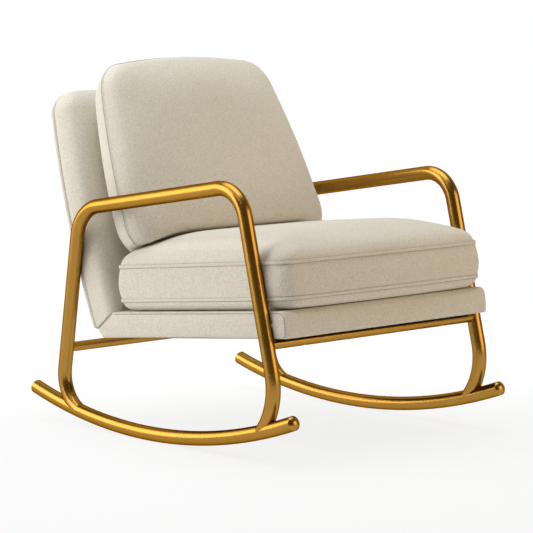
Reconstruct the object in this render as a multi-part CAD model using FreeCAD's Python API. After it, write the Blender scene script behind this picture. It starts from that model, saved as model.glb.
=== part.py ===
import FreeCAD, Part
import math
import os

# Upholstered rocking chair: bent steel side frames on curved runners carry an L-shaped padded shell
# (seat base and back) with a loose seat cushion and a loose back cushion.
# Millimetres and degrees. +Z is up, the sitter faces -Y, and the origin is on the floor midway
# between the two runners, at the line where they touch it.

# Steel tube of the side frames
TUBE_DIAMETER = 32.0
TUBE_WALL = 1.8
FRAME_HALF_SPACING = 322.0
ARM_HEIGHT = 535.5
ARM_RISE = 8.8
LEG_GAUGE_HEIGHT = 400.0
FRONT_LEG_FORWARD = 353.8
FRONT_LEG_LEAN = 14.0
REAR_LEG_BACK = 244.3
REAR_LEG_LEAN = 9.2
FRONT_ARM_BEND = 75.0
REAR_ARM_BEND = 87.0
FRONT_FOOT_BEND = 140.0
FRONT_FOOT_LANDING = 373.0
REAR_FOOT_BEND = 86.0
REAR_FOOT_LANDING = 236.0

# Rocking runners, measured along the floor from the contact line to the cap tips
ROCKER_RADIUS = 1384.0
RUNNER_FRONT_REACH = 478.5
RUNNER_REAR_REACH = 403.0
CAP_RIM = 3.0
CAP_DOME = 8.0
CAP_PLUG = 14.0
CAP_PLUG_CLEARANCE = 0.1

# Cross rails between the legs
RAIL_DIAMETER = 22.0
RAIL_WALL = 1.5
FRONT_RAIL_HEIGHT = 253.4
REAR_RAIL_HEIGHT = 177.5

# Seat base, measured along its own slope
SEAT_TILT = 5.65
BASE_THICKNESS = 58.0
BASE_HALF_WIDTH = 314.0
BASE_FRONT_OVERHANG = 50.0
BASE_HEEL_BACK = 571.0
BASE_HEEL_HEIGHT = 20.6
BASE_HEEL_ROUND = 14.0
BASE_NOSE_ROUND = 15.0
BASE_TOE_ROUND = 9.0
BASE_SIDE_ROUND = 7.0

# Back panel, measured up its own slope from the heel seam
BACK_RECLINE = 24.0
BACK_PANEL_HEIGHT = 572.0
BACK_PANEL_DEPTH = 64.0
BACK_PANEL_TOP_HALF_WIDTH = 259.0
BACK_PANEL_SIDE_BOW = 12.0
BACK_PANEL_TOP_BOW = 3.0
BACK_PANEL_CORNER = 66.0
BACK_PANEL_FRONT_ROUND = 56.0
REAR_COVER_DEPTH = 13.0
REAR_COVER_ROUND = 6.0
REAR_COVER_INSET = -2.0

# Upholstery layers and fits
COVER_THICKNESS = 2.5
SOFT_CLEARANCE = 0.4
SEAT_GAP = 0.3
CUSHION_FABRIC = 2.0
LEAST_ROUND = 5.0
LEAST_BOW = 0.5
EDGE_STEPS = 6

# Loose seat cushion
SEAT_CUSHION_HALF_WIDTH = 311.0
SEAT_CUSHION_FRONT = 51.0
SEAT_CUSHION_DEPTH = 556.0
SEAT_CUSHION_CORNER = 36.0
SEAT_CUSHION_FRONT_BOW = 9.0
SEAT_CUSHION_SIDE_BOW = 1.5
SEAT_CUSHION_UNDERSIDE = 25.0
SEAT_CUSHION_BOXING = 75.5
SEAT_CUSHION_CROWN = 67.0
SEAT_CUSHION_CROWN_REACH = 190.0
SEAT_CUSHION_UNDER_REACH = 38.0

# Loose back cushion
BACK_CUSHION_START = 108.0
BACK_CUSHION_HEIGHT = 465.0
BACK_CUSHION_SIDE_CLEARANCE = 1.0
BACK_CUSHION_TOP_HALF_WIDTH = 243.0
BACK_CUSHION_SIDE_BOW = 6.5
BACK_CUSHION_END_BOW = 12.0
BACK_CUSHION_LOWER_CORNER = 75.0
BACK_CUSHION_UPPER_CORNER = 71.0
BACK_CUSHION_SEAM_DEPTH = 108.0
BACK_CUSHION_REAR_REACH = 125.0
BACK_CUSHION_CROWN = 66.0
BACK_CUSHION_CROWN_REACH = 95.0
BACK_CUSHION_CORNER_LIMIT = 0.36

# How far the seat cushion's seams draw in, and how both cushions' corners open towards the crown
CUSHION_SEAM_INSET = 4.5
CUSHION_CORNER_SPREAD = 0.15

# Wooden frame inside the shell
BOARD_WIDTH = 60.0
BOARD_HEIGHT = 30.0
BOARD_CLEARANCE = 0.5
BOARD_HEEL_GAP = 26.0
CORNER_BLOCK_SIDE = 55.0
BACK_BOARD_WIDTH = 55.0
BACK_BOARD_DEPTH = 28.0
BACK_BOARD_INSET = 8.0
BACK_LOWER_RAIL_START = 70.0
DUST_COVER_THICKNESS = 1.0
DUST_COVER_INSET = 6.0

# Elastic webbing
STRAP_WIDTH = 50.0
STRAP_THICKNESS = 1.5
SEAT_LONG_STRAPS = 5
SEAT_CROSS_STRAPS = 4
BACK_STRAPS = 4

# Fixings that hold the shell on the rails
BOLT_DIAMETER = 6.0
BOLT_HOLE_CLEARANCE = 0.4
BOLT_HEAD_DIAMETER = 10.5
BOLT_HEAD_HEIGHT = 3.3
BOLT_GRIP_IN_BOARD = 24.0
BOLT_ACCESS_DIAMETER = 12.0
WASHER_DIAMETER = 18.0
WASHER_THICKNESS = 1.6
TEE_NUT_DIAMETER = 10.0
TEE_NUT_LENGTH = 11.0
TEE_NUT_FLANGE = 20.0
TEE_NUT_FLANGE_THICKNESS = 1.5
FRONT_BOLT_HALF_SPACING = 215.0
REAR_BOLT_HALF_SPACING = 90.0
BRACKET_WIDTH = 40.0
BRACKET_THICKNESS = 5.0
BRACKET_TAIL = 9.0

TUBE_RADIUS = TUBE_DIAMETER / 2
RAIL_RADIUS = RAIL_DIAMETER / 2
INNER_HALF_WIDTH = FRAME_HALF_SPACING - TUBE_RADIUS


def sin(angle):
    return math.sin(math.radians(angle))


def cos(angle):
    return math.cos(math.radians(angle))


def tan(angle):
    return math.tan(math.radians(angle))


def side_point(forward, up, x=0.0):
    """A point given by its distance forward of the contact line and its height above the floor."""
    return FreeCAD.Vector(x, -forward, up)


def front_leg_forward(height):
    return FRONT_LEG_FORWARD - tan(FRONT_LEG_LEAN) * (height - LEG_GAUGE_HEIGHT)


def rear_leg_forward(height):
    return -REAR_LEG_BACK + tan(REAR_LEG_LEAN) * (height - LEG_GAUGE_HEIGHT)


def runner_height(forward):
    """Height of the runner's centre line."""
    return TUBE_RADIUS + ROCKER_RADIUS - math.sqrt(ROCKER_RADIUS ** 2 - forward ** 2)


# Frames of reference: the seat's slope and the back's slope, both as (across, along, out of the face)
FRONT_RAIL_FORWARD = front_leg_forward(FRONT_RAIL_HEIGHT)
REAR_RAIL_FORWARD = rear_leg_forward(REAR_RAIL_HEIGHT)
SEAT_ALONG = side_point(cos(SEAT_TILT), sin(SEAT_TILT))
SEAT_OUT = side_point(-sin(SEAT_TILT), cos(SEAT_TILT))
FRONT_RAIL_CENTRE = side_point(FRONT_RAIL_FORWARD, FRONT_RAIL_HEIGHT)
REAR_RAIL_CENTRE = side_point(REAR_RAIL_FORWARD, REAR_RAIL_HEIGHT)
# The seat's zero point is on the base's underside, straight over the front rail
SEAT_ORIGIN = FRONT_RAIL_CENTRE + SEAT_OUT * (RAIL_RADIUS + SEAT_GAP)
BACK_ALONG = side_point(-sin(BACK_RECLINE), cos(BACK_RECLINE))
BACK_OUT = side_point(cos(BACK_RECLINE), sin(BACK_RECLINE))
BACK_ORIGIN = SEAT_ORIGIN - SEAT_ALONG * BASE_HEEL_BACK + SEAT_OUT * BASE_HEEL_HEIGHT
ACROSS = FreeCAD.Vector(1, 0, 0)


def on_seat(x, along, out):
    return SEAT_ORIGIN + ACROSS * x + SEAT_ALONG * along + SEAT_OUT * out


def on_back(x, along, out):
    return BACK_ORIGIN + ACROSS * x + BACK_ALONG * along + BACK_OUT * out


def line(a, b):
    return Part.LineSegment(a, b).toShape()


def arc(a, middle, b):
    return Part.Arc(a, middle, b).toShape()


def polygon_face(points):
    return Part.Face(Part.makePolygon(points + points[:1]))


def seat_block(x0, x1, along0, along1, out0, out1):
    """A straight block lined up with the seat's slope."""
    corners = [on_seat(x0, along0, out0), on_seat(x1, along0, out0),
               on_seat(x1, along1, out0), on_seat(x0, along1, out0)]
    return polygon_face(corners).extrude(SEAT_OUT * (out1 - out0))


def back_block(x0, x1, along0, along1, out0, out1):
    """A straight block lined up with the back's slope."""
    corners = [on_back(x0, along0, out0), on_back(x1, along0, out0),
               on_back(x1, along1, out0), on_back(x0, along1, out0)]
    return polygon_face(corners).extrude(BACK_OUT * (out1 - out0))


# Rounded paths and outlines

def corner_points(before, corner, after, radius):
    """Start, middle and end of the arc that rounds a corner."""
    to_before = (before - corner).normalize()
    to_after = (after - corner).normalize()
    half_angle = to_before.getAngle(to_after) / 2
    tangent = radius / math.tan(half_angle)
    towards_centre = (to_before + to_after).normalize()
    centre = corner + towards_centre * (radius / math.sin(half_angle))
    return (corner + to_before * tangent, centre - towards_centre * radius, corner + to_after * tangent)


def rounded_outline(corners, radii, bows, place):
    """A closed wire of bowed sides and rounded corners; place maps flat points into space."""
    count = len(corners)
    flat = [FreeCAD.Vector(x, y, 0) for x, y in corners]
    rounds = []
    for i in range(count):
        rounds.append(corner_points(flat[i - 1], flat[i], flat[(i + 1) % count], radii[i]))
    edges = []
    for i in range(count):
        start, middle, end = rounds[i]
        edges.append(arc(place(start), place(middle), place(end)))
        next_start = rounds[(i + 1) % count][0]
        run = next_start - end
        outward = FreeCAD.Vector(run.y, -run.x, 0).normalize()
        bulge = (end + next_start) * 0.5 + outward * bows[i]
        edges.append(arc(place(end), place(bulge), place(next_start)))
    return Part.Wire(edges)


def pillow(outline_at, sections):
    """A closed form through outlines, each at a distance out of the face and an inset."""
    return Part.makeLoft([outline_at(out, inset) for out, inset in sections], True, True)


# Steel side frames

def foot_circle(leg_point, leg_up, inward, landing, radius):
    """Where the leg's straight part ends, and the foot arc's centre, for a foot landing on the runner."""
    from_line = leg_point + inward * radius
    to_landing = landing - from_line
    along = to_landing.dot(leg_up)
    offset = to_landing.dot(inward)
    rise = along + math.sqrt(radius ** 2 - offset ** 2)
    return leg_point + leg_up * rise, from_line + leg_up * rise


def foot_arc(leg_end, centre, landing):
    """The foot's bend from the leg's straight part down to the runner's centre line."""
    radius = (leg_end - centre).Length
    middle = centre + ((leg_end - centre) + (landing - centre)).normalize() * radius
    return arc(leg_end, middle, landing)


def side_frame_path(x):
    """Centre line of one arm with its two legs, from the front foot over the arm to the rear foot."""
    front_up = side_point(-sin(FRONT_LEG_LEAN), cos(FRONT_LEG_LEAN))
    front_in = side_point(-cos(FRONT_LEG_LEAN), -sin(FRONT_LEG_LEAN))
    rear_up = side_point(sin(REAR_LEG_LEAN), cos(REAR_LEG_LEAN))
    rear_in = side_point(cos(REAR_LEG_LEAN), -sin(REAR_LEG_LEAN))
    front_gauge = side_point(FRONT_LEG_FORWARD, LEG_GAUGE_HEIGHT, x)
    rear_gauge = side_point(-REAR_LEG_BACK, LEG_GAUGE_HEIGHT, x)
    front_landing = side_point(FRONT_FOOT_LANDING, runner_height(FRONT_FOOT_LANDING), x)
    rear_landing = side_point(-REAR_FOOT_LANDING, runner_height(REAR_FOOT_LANDING), x)
    front_end, front_centre = foot_circle(front_gauge, front_up, front_in, front_landing, FRONT_FOOT_BEND)
    rear_end, rear_centre = foot_circle(rear_gauge, rear_up, rear_in, rear_landing, REAR_FOOT_BEND)
    slope = tan(ARM_RISE)
    front_top = (ARM_HEIGHT - LEG_GAUGE_HEIGHT + slope * FRONT_LEG_FORWARD) / (1 + slope * tan(FRONT_LEG_LEAN))
    rear_top = (ARM_HEIGHT - LEG_GAUGE_HEIGHT - slope * REAR_LEG_BACK) / (1 - slope * tan(REAR_LEG_LEAN))
    front_corner = front_gauge + front_up * (front_top / cos(FRONT_LEG_LEAN))
    rear_corner = rear_gauge + rear_up * (rear_top / cos(REAR_LEG_LEAN))
    front_bend = corner_points(front_end, front_corner, rear_corner, FRONT_ARM_BEND)
    rear_bend = corner_points(front_corner, rear_corner, rear_end, REAR_ARM_BEND)
    return Part.Wire([
        foot_arc(front_landing, front_centre, front_end),
        line(front_end, front_bend[0]),
        arc(*front_bend),
        line(front_bend[2], rear_bend[0]),
        arc(*rear_bend),
        line(rear_bend[2], rear_end),
        foot_arc(rear_end, rear_centre, rear_landing),
    ])


def swept_round(path, radius):
    """A solid round bar along a path."""
    first = path.OrderedEdges[0]
    start = first.valueAt(first.FirstParameter)
    heading = first.tangentAt(first.FirstParameter)
    section = Part.Wire(Part.makeCircle(radius, start, heading))
    return path.makePipeShell([section], True, False)


def side_frame_bar(x, radius):
    return swept_round(side_frame_path(x), radius)


def runner_angle(reach):
    """Angle round the rocker's centre for a cap tip that reaches this far along the floor."""
    return math.degrees(math.asin(reach / ROCKER_RADIUS) - (CAP_RIM + CAP_DOME) / ROCKER_RADIUS)


def runner_bar(x, radius):
    """A solid round bar along one runner's arc."""
    centre = FreeCAD.Vector(x, 0, TUBE_RADIUS + ROCKER_RADIUS)
    disc = Part.Face(Part.Wire(Part.makeCircle(radius, side_point(0, TUBE_RADIUS, x), FreeCAD.Vector(0, 1, 0))))
    front_angle = runner_angle(RUNNER_FRONT_REACH)
    disc.rotate(centre, ACROSS, -front_angle)
    return disc.revolve(centre, ACROSS, front_angle + runner_angle(RUNNER_REAR_REACH))


def runner_cap(x, angle, forward_sign):
    """Domed cap with a plug that sits inside the runner's end."""
    plug_radius = TUBE_RADIUS - TUBE_WALL - CAP_PLUG_CLEARANCE
    rise = CAP_RIM + CAP_DOME
    dome_sphere = (TUBE_RADIUS ** 2 + CAP_DOME ** 2) / (2 * CAP_DOME)
    half_sweep = math.asin(TUBE_RADIUS / dome_sphere) / 2
    dome_middle = FreeCAD.Vector(dome_sphere * math.sin(half_sweep), 0,
                                 rise - dome_sphere * (1 - math.cos(half_sweep)))
    edges = [
        line(FreeCAD.Vector(0, 0, -CAP_PLUG), FreeCAD.Vector(plug_radius, 0, -CAP_PLUG)),
        line(FreeCAD.Vector(plug_radius, 0, -CAP_PLUG), FreeCAD.Vector(plug_radius, 0, 0)),
        line(FreeCAD.Vector(plug_radius, 0, 0), FreeCAD.Vector(TUBE_RADIUS, 0, 0)),
        line(FreeCAD.Vector(TUBE_RADIUS, 0, 0), FreeCAD.Vector(TUBE_RADIUS, 0, CAP_RIM)),
        arc(FreeCAD.Vector(TUBE_RADIUS, 0, CAP_RIM), dome_middle, FreeCAD.Vector(0, 0, rise)),
        line(FreeCAD.Vector(0, 0, rise), FreeCAD.Vector(0, 0, -CAP_PLUG)),
    ]
    cap = Part.Face(Part.Wire(edges)).revolve(FreeCAD.Vector(0, 0, 0), FreeCAD.Vector(0, 0, 1), 360)
    heading = side_point(forward_sign * cos(angle), sin(angle))
    end = side_point(forward_sign * ROCKER_RADIUS * sin(angle),
                     TUBE_RADIUS + ROCKER_RADIUS * (1 - cos(angle)), x)
    turn = FreeCAD.Rotation(FreeCAD.Vector(0, 0, 1), heading)
    cap.Placement = FreeCAD.Placement(end, turn)
    return cap


def cross_rail(centre, legs):
    """Round tube between the legs, coped where it meets them."""
    start = centre - ACROSS * FRAME_HALF_SPACING
    tube = Part.makeCylinder(RAIL_RADIUS, 2 * FRAME_HALF_SPACING, start, ACROSS)
    bore = Part.makeCylinder(RAIL_RADIUS - RAIL_WALL, 2 * FRAME_HALF_SPACING, start, ACROSS)
    return tube.cut(bore).cut(legs)


# Padded shell: the seat base and the back panel meet on a mitre plane

def inner_corner():
    """Where the back panel's front face meets the base's top, as distances along and out of the seat."""
    away = BACK_OUT.dot(BACK_ORIGIN - SEAT_ORIGIN)
    along = (BACK_PANEL_DEPTH + away - BASE_THICKNESS * BACK_OUT.dot(SEAT_OUT)) / BACK_OUT.dot(SEAT_ALONG)
    return along, BASE_THICKNESS


def mitre_side(keep_seat):
    """Everything on the seat's or the back's side of the mitre plane."""
    along, out = inner_corner()
    heel = on_seat(0, -BASE_HEEL_BACK, BASE_HEEL_HEIGHT)
    corner = on_seat(0, along, out)
    reach = 4 * (BACK_PANEL_HEIGHT + BASE_HEEL_BACK)
    rise = (corner - heel).normalize()
    towards_seat = rise.cross(ACROSS).normalize()
    if towards_seat.dot(SEAT_ALONG) < 0:
        towards_seat = towards_seat * -1
    side = towards_seat if keep_seat else towards_seat * -1
    middle = (heel + corner) * 0.5
    square = [middle + ACROSS * (reach * a) + rise * (reach * b) for a, b in ((-1, -1), (1, -1), (1, 1), (-1, 1))]
    return polygon_face(square).extrude(side * reach)


def base_profile(shrink):
    """Side outline of the seat base, as a face at the near edge, drawn in evenly by shrink."""
    half = BASE_HALF_WIDTH - shrink
    along, _ = inner_corner()
    top = BASE_THICKNESS - shrink
    nose = BASE_FRONT_OVERHANG - shrink
    toe_round = max(BASE_TOE_ROUND - shrink, 1.0)
    nose_round = max(BASE_NOSE_ROUND - shrink, 1.0)
    heel_round = max(BASE_HEEL_ROUND - shrink, 1.0)
    heel = -BASE_HEEL_BACK + shrink
    corners = [(nose, shrink), (nose, top), (along, top), (heel, top), (heel, BASE_HEEL_HEIGHT),
               (heel + BASE_HEEL_ROUND, shrink)]
    rounding = [toe_round, nose_round, 0, 0, heel_round, heel_round]
    flat = [FreeCAD.Vector(a, b, 0) for a, b in corners]
    place = [on_seat(-half, p.x, p.y) for p in flat]
    edges = []
    count = len(place)
    ends = []
    for i in range(count):
        if rounding[i]:
            ends.append(corner_points(place[i - 1], place[i], place[(i + 1) % count], rounding[i]))
        else:
            ends.append((place[i], place[i], place[i]))
    for i in range(count):
        if rounding[i]:
            edges.append(arc(*ends[i]))
        edges.append(line(ends[i][2], ends[(i + 1) % count][0]))
    return Part.Face(Part.Wire(edges)), half


def base_form(shrink, side_round):
    """The seat base's outer form, or its hollow, up to the mitre plane."""
    face, half = base_profile(shrink)
    block = face.extrude(ACROSS * (2 * half))
    if side_round:
        rim = [e for e in block.Edges if abs(abs(e.CenterOfMass.x) - half) < 0.01]
        block = block.makeFillet(side_round, rim)
    return block.common(mitre_side(True))


def eased(t):
    """Share of the way in, for a quarter ellipse, at a share t of the way out."""
    return 1 - math.sqrt(1 - t ** 2)


def back_outline(out, inset):
    """Outline of the back panel: sides that lean in to a rounded top."""
    slope = (BASE_HALF_WIDTH - BACK_PANEL_TOP_HALF_WIDTH) / BACK_PANEL_HEIGHT
    foot = -BACK_PANEL_DEPTH
    foot_half = BASE_HALF_WIDTH - slope * foot - inset
    top = BACK_PANEL_HEIGHT - inset
    top_half = BACK_PANEL_TOP_HALF_WIDTH - inset
    corners = [(-foot_half, foot), (foot_half, foot), (top_half, top), (-top_half, top)]
    corner = max(BACK_PANEL_CORNER - inset, LEAST_ROUND)
    radii = [LEAST_ROUND, LEAST_ROUND, corner, corner]
    bows = [LEAST_BOW, BACK_PANEL_SIDE_BOW, BACK_PANEL_TOP_BOW, BACK_PANEL_SIDE_BOW]
    return rounded_outline(corners, radii, bows, lambda p: on_back(p.x, p.y, out))


def back_slab(out0, out1, inset):
    """The back panel's outline carried straight through between two depths."""
    return Part.Face(back_outline(out0, inset)).extrude(BACK_OUT * (out1 - out0))


def rounded_slab(flat_out, round_start, rounding, inset):
    """The back panel's outline with a rounded edge; rounding is towards the far face."""
    direction = 1 if round_start > flat_out else -1
    sections = [(flat_out, inset), (round_start, inset)]
    for step in range(1, EDGE_STEPS + 1):
        t = step / EDGE_STEPS
        sections.append((round_start + direction * rounding * math.sin(t * math.pi / 2),
                         inset + rounding * (1 - math.cos(t * math.pi / 2))))
    return pillow(back_outline, sections)


def back_form(shrink):
    """The back panel's outer form, or its hollow, down to the mitre plane."""
    depth = BACK_PANEL_DEPTH - shrink
    rounding = BACK_PANEL_FRONT_ROUND - shrink
    return rounded_slab(0, depth - rounding, rounding, shrink).common(mitre_side(False))


def both_sides(make):
    return Part.makeCompound([make(-FRAME_HALF_SPACING), make(FRAME_HALF_SPACING)])


NODES = {}


def build_steel():
    legs = both_sides(lambda x: side_frame_bar(x, TUBE_RADIUS))
    for name, x in (("right", -FRAME_HALF_SPACING), ("left", FRAME_HALF_SPACING)):
        runner_solid = runner_bar(x, TUBE_RADIUS)
        tube = side_frame_bar(x, TUBE_RADIUS).cut(side_frame_bar(x, TUBE_RADIUS - TUBE_WALL))
        NODES[name + "_arm_leg_tube"] = tube.cut(runner_solid)
        NODES[name + "_runner"] = runner_solid.cut(runner_bar(x, TUBE_RADIUS - TUBE_WALL))
        NODES[name + "_runner_front_cap"] = runner_cap(x, runner_angle(RUNNER_FRONT_REACH), 1)
        NODES[name + "_runner_rear_cap"] = runner_cap(x, runner_angle(RUNNER_REAR_REACH), -1)
    bolt_holes = Part.makeCompound([seat_drill(x, 0).fuse(rail_access(x)) for x in FRONT_BOLTS])
    NODES["front_cross_rail"] = cross_rail(FRONT_RAIL_CENTRE, legs).cut(bolt_holes)
    NODES["rear_cross_rail"] = cross_rail(REAR_RAIL_CENTRE, legs)


def build_shell_covers():
    """Fabric covers of the base and the back, pressed in where the legs touch them."""
    legs_near = both_sides(lambda x: side_frame_bar(x, TUBE_RADIUS + SOFT_CLEARANCE))
    legs_wide = both_sides(lambda x: side_frame_bar(x, TUBE_RADIUS + SOFT_CLEARANCE + COVER_THICKNESS))
    hollow = base_form(COVER_THICKNESS, 0)
    mouth_half = BASE_HALF_WIDTH - COVER_THICKNESS
    mouth = seat_block(-mouth_half, mouth_half, -BASE_HEEL_BACK + BASE_HEEL_ROUND + COVER_THICKNESS,
                       BASE_FRONT_OVERHANG - BASE_TOE_ROUND, -SEAT_GAP, BASE_THICKNESS / 2)
    hollow = hollow.fuse(mouth.common(mitre_side(True)))
    NODES["seat_base_cover"] = base_form(0, BASE_SIDE_ROUND).cut(legs_near).cut(hollow.cut(legs_wide))
    NODES["back_panel_cover"] = back_form(0).cut(legs_near).cut(back_form(COVER_THICKNESS).cut(legs_wide))
    rear = rounded_slab(0, REAR_COVER_ROUND - REAR_COVER_DEPTH, REAR_COVER_ROUND, REAR_COVER_INSET)
    NODES["back_rear_cover"] = rear.common(mitre_side(False)).cut(legs_near)
    pad = base_form(COVER_THICKNESS + SOFT_CLEARANCE, 0)
    pad_top = BASE_THICKNESS - COVER_THICKNESS - SOFT_CLEARANCE
    NODES["seat_base_padding"] = pad.common(
        seat_block(-BOARD_HALF, BOARD_HALF, -2 * BASE_HEEL_BACK, 2 * BASE_FRONT_OVERHANG, STRAP_TOP, pad_top))
    pad = back_form(COVER_THICKNESS + SOFT_CLEARANCE).cut(legs_wide)
    behind = back_slab(-COVER_THICKNESS, BACK_BOARD_DEPTH + STRAP_THICKNESS, -COVER_THICKNESS)
    NODES["back_panel_padding"] = pad.cut(behind)


# Wooden frame, webbing and underside cloth inside the shell

BOARD_HALF = INNER_HALF_WIDTH - SOFT_CLEARANCE - COVER_THICKNESS - BOARD_CLEARANCE
BOARD_LOW = DUST_COVER_THICKNESS
BOARD_HIGH = DUST_COVER_THICKNESS + BOARD_HEIGHT
STRAP_TOP = BOARD_HIGH + 2 * STRAP_THICKNESS
FRONT_BOARD_END = BASE_FRONT_OVERHANG - COVER_THICKNESS - BOARD_CLEARANCE
FRONT_BOARD_START = FRONT_BOARD_END - BOARD_WIDTH
REAR_BOARD_START = BOARD_HEEL_GAP - BASE_HEEL_BACK
REAR_BOARD_END = REAR_BOARD_START + BOARD_WIDTH
REAR_BOLT_ALONG = (REAR_BOARD_START + REAR_BOARD_END) / 2
FRONT_BOLTS = (-FRONT_BOLT_HALF_SPACING, FRONT_BOLT_HALF_SPACING)
REAR_BOLTS = (-REAR_BOLT_HALF_SPACING, REAR_BOLT_HALF_SPACING)
BOLT_SPOTS = [(x, 0.0) for x in FRONT_BOLTS] + [(x, REAR_BOLT_ALONG) for x in REAR_BOLTS]


def seat_post(radius, x, along, out0, out1):
    """A round bar square to the seat's slope."""
    return Part.makeCylinder(radius, out1 - out0, on_seat(x, along, out0), SEAT_OUT)


def seat_drill(x, along):
    """A bolt hole right through the rail and the base's underside."""
    radius = (BOLT_DIAMETER + BOLT_HOLE_CLEARANCE) / 2
    return seat_post(radius, x, along, -2 * RAIL_DIAMETER, BOARD_HIGH)


def rail_access(x):
    """The hole in the front rail's underside through which a bolt's head goes in."""
    return seat_post(BOLT_ACCESS_DIAMETER / 2, x, 0, -2 * RAIL_DIAMETER, -SEAT_GAP - RAIL_RADIUS)


def tee_nut_seat(x, along):
    """The stepped hole that takes a tee nut from the board's top."""
    play = BOLT_HOLE_CLEARANCE / 2
    barrel = seat_post(TEE_NUT_DIAMETER / 2 + play, x, along, BOARD_HIGH - TEE_NUT_LENGTH - play, BOARD_HIGH)
    flange = seat_post(TEE_NUT_FLANGE / 2 + play, x, along, BOARD_HIGH - TEE_NUT_FLANGE_THICKNESS - play, BOARD_HIGH)
    return barrel.fuse(flange)


def evenly(count, low, high):
    """Middles of strips spread evenly between two ends."""
    if count == 1:
        return [(low + high) / 2]
    return [low + (high - low) * i / (count - 1) for i in range(count)]


def build_seat_frame():
    drills = Part.makeCompound([seat_drill(*spot) for spot in BOLT_SPOTS])
    seats = Part.makeCompound([tee_nut_seat(*spot) for spot in BOLT_SPOTS])
    front = seat_block(-BOARD_HALF, BOARD_HALF, FRONT_BOARD_START, FRONT_BOARD_END, BOARD_LOW, BOARD_HIGH)
    hollow = base_form(COVER_THICKNESS + BOARD_CLEARANCE, 0)
    NODES["seat_front_board"] = front.common(hollow).cut(drills).cut(seats)
    inner = BOARD_HALF - BOARD_WIDTH
    rear = seat_block(-inner, inner, REAR_BOARD_START, REAR_BOARD_END, BOARD_LOW, BOARD_HIGH)
    NODES["seat_rear_board"] = rear.cut(drills).cut(seats)
    for name, x in (("right", -BOARD_HALF), ("left", inner)):
        side = seat_block(x, x + BOARD_WIDTH, -2 * BASE_HEEL_BACK, FRONT_BOARD_START, BOARD_LOW, BOARD_HIGH)
        NODES["seat_" + name + "_side_board"] = side.common(hollow)
    blocks = []
    for along, step in ((FRONT_BOARD_START, -CORNER_BLOCK_SIDE), (REAR_BOARD_END, CORNER_BLOCK_SIDE)):
        for x, reach in ((-inner, CORNER_BLOCK_SIDE), (inner, -CORNER_BLOCK_SIDE)):
            face = polygon_face([on_seat(x, along, BOARD_LOW), on_seat(x + reach, along, BOARD_LOW),
                                 on_seat(x, along + step, BOARD_LOW)])
            blocks.append(face.extrude(SEAT_OUT * BOARD_HEIGHT))
    NODES["seat_corner_blocks"] = Part.makeCompound(blocks)
    sheet_half = BASE_HALF_WIDTH - COVER_THICKNESS - DUST_COVER_INSET
    sheet = seat_block(-sheet_half, sheet_half, REAR_BOARD_START, FRONT_BOARD_END - BASE_TOE_ROUND, 0, BOARD_LOW)
    legs = both_sides(lambda x: side_frame_bar(x, TUBE_RADIUS + SOFT_CLEARANCE + COVER_THICKNESS))
    NODES["seat_dust_cover"] = sheet.cut(legs).cut(drills)
    lap = BOARD_WIDTH / 2
    straps = [seat_block(x - STRAP_WIDTH / 2, x + STRAP_WIDTH / 2, REAR_BOARD_START + lap, FRONT_BOARD_END - lap,
                         BOARD_HIGH, BOARD_HIGH + STRAP_THICKNESS)
              for x in evenly(SEAT_LONG_STRAPS, STRAP_WIDTH - inner, inner - STRAP_WIDTH)]
    NODES["seat_lengthwise_webbing"] = Part.makeCompound(straps)
    straps = [seat_block(lap - BOARD_HALF, BOARD_HALF - lap, along - STRAP_WIDTH / 2, along + STRAP_WIDTH / 2,
                         BOARD_HIGH + STRAP_THICKNESS, STRAP_TOP)
              for along in evenly(SEAT_CROSS_STRAPS, REAR_BOARD_END + STRAP_WIDTH, FRONT_BOARD_START - STRAP_WIDTH)]
    NODES["seat_crosswise_webbing"] = Part.makeCompound(straps)


def build_back_frame():
    ring = back_slab(0, BACK_BOARD_DEPTH, BACK_BOARD_INSET)
    window = back_slab(0, BACK_BOARD_DEPTH, BACK_BOARD_INSET + BACK_BOARD_WIDTH)
    ring = ring.cut(window).common(mitre_side(False))
    wide = 2 * BASE_HALF_WIDTH
    split = BACK_PANEL_HEIGHT - BACK_BOARD_INSET - BACK_PANEL_CORNER
    NODES["back_top_rail"] = ring.common(back_block(-wide, wide, split, 2 * BACK_PANEL_HEIGHT, 0, BACK_BOARD_DEPTH))
    for name, x0, x1 in (("right", -wide, 0), ("left", 0, wide)):
        post = ring.common(back_block(x0, x1, -wide, split, 0, BACK_BOARD_DEPTH))
        NODES["back_" + name + "_post"] = post.common(mitre_side(False))
    rail_end = BACK_LOWER_RAIL_START + BACK_BOARD_WIDTH
    lower = back_block(-wide, wide, BACK_LOWER_RAIL_START, rail_end, 0, BACK_BOARD_DEPTH)
    NODES["back_lower_rail"] = lower.common(window)
    lap = back_slab(BACK_BOARD_DEPTH, BACK_BOARD_DEPTH + STRAP_THICKNESS, BACK_BOARD_INSET + BACK_BOARD_WIDTH / 2)
    straps = []
    top = BACK_PANEL_HEIGHT - BACK_BOARD_INSET - BACK_BOARD_WIDTH - STRAP_WIDTH
    for along in evenly(BACK_STRAPS, rail_end + STRAP_WIDTH, top):
        strap = back_block(-wide, wide, along - STRAP_WIDTH / 2, along + STRAP_WIDTH / 2,
                           BACK_BOARD_DEPTH, BACK_BOARD_DEPTH + STRAP_THICKNESS)
        straps.append(strap.common(lap))
    NODES["back_webbing"] = Part.makeCompound(straps)


# Bolts, washers, tee nuts and the rear brackets

def bolt(x, along, seat_out):
    """A bolt whose head's upper face is at seat_out and whose end is in the board."""
    shank = seat_post(BOLT_DIAMETER / 2, x, along, seat_out, BOARD_LOW + BOLT_GRIP_IN_BOARD)
    head = seat_post(BOLT_HEAD_DIAMETER / 2, x, along, seat_out - BOLT_HEAD_HEIGHT, seat_out)
    return shank.fuse(head)


def ring_post(outer, inner, x, along, out0, out1):
    return seat_post(outer, x, along, out0, out1).cut(seat_post(inner, x, along, out0, out1))


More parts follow.
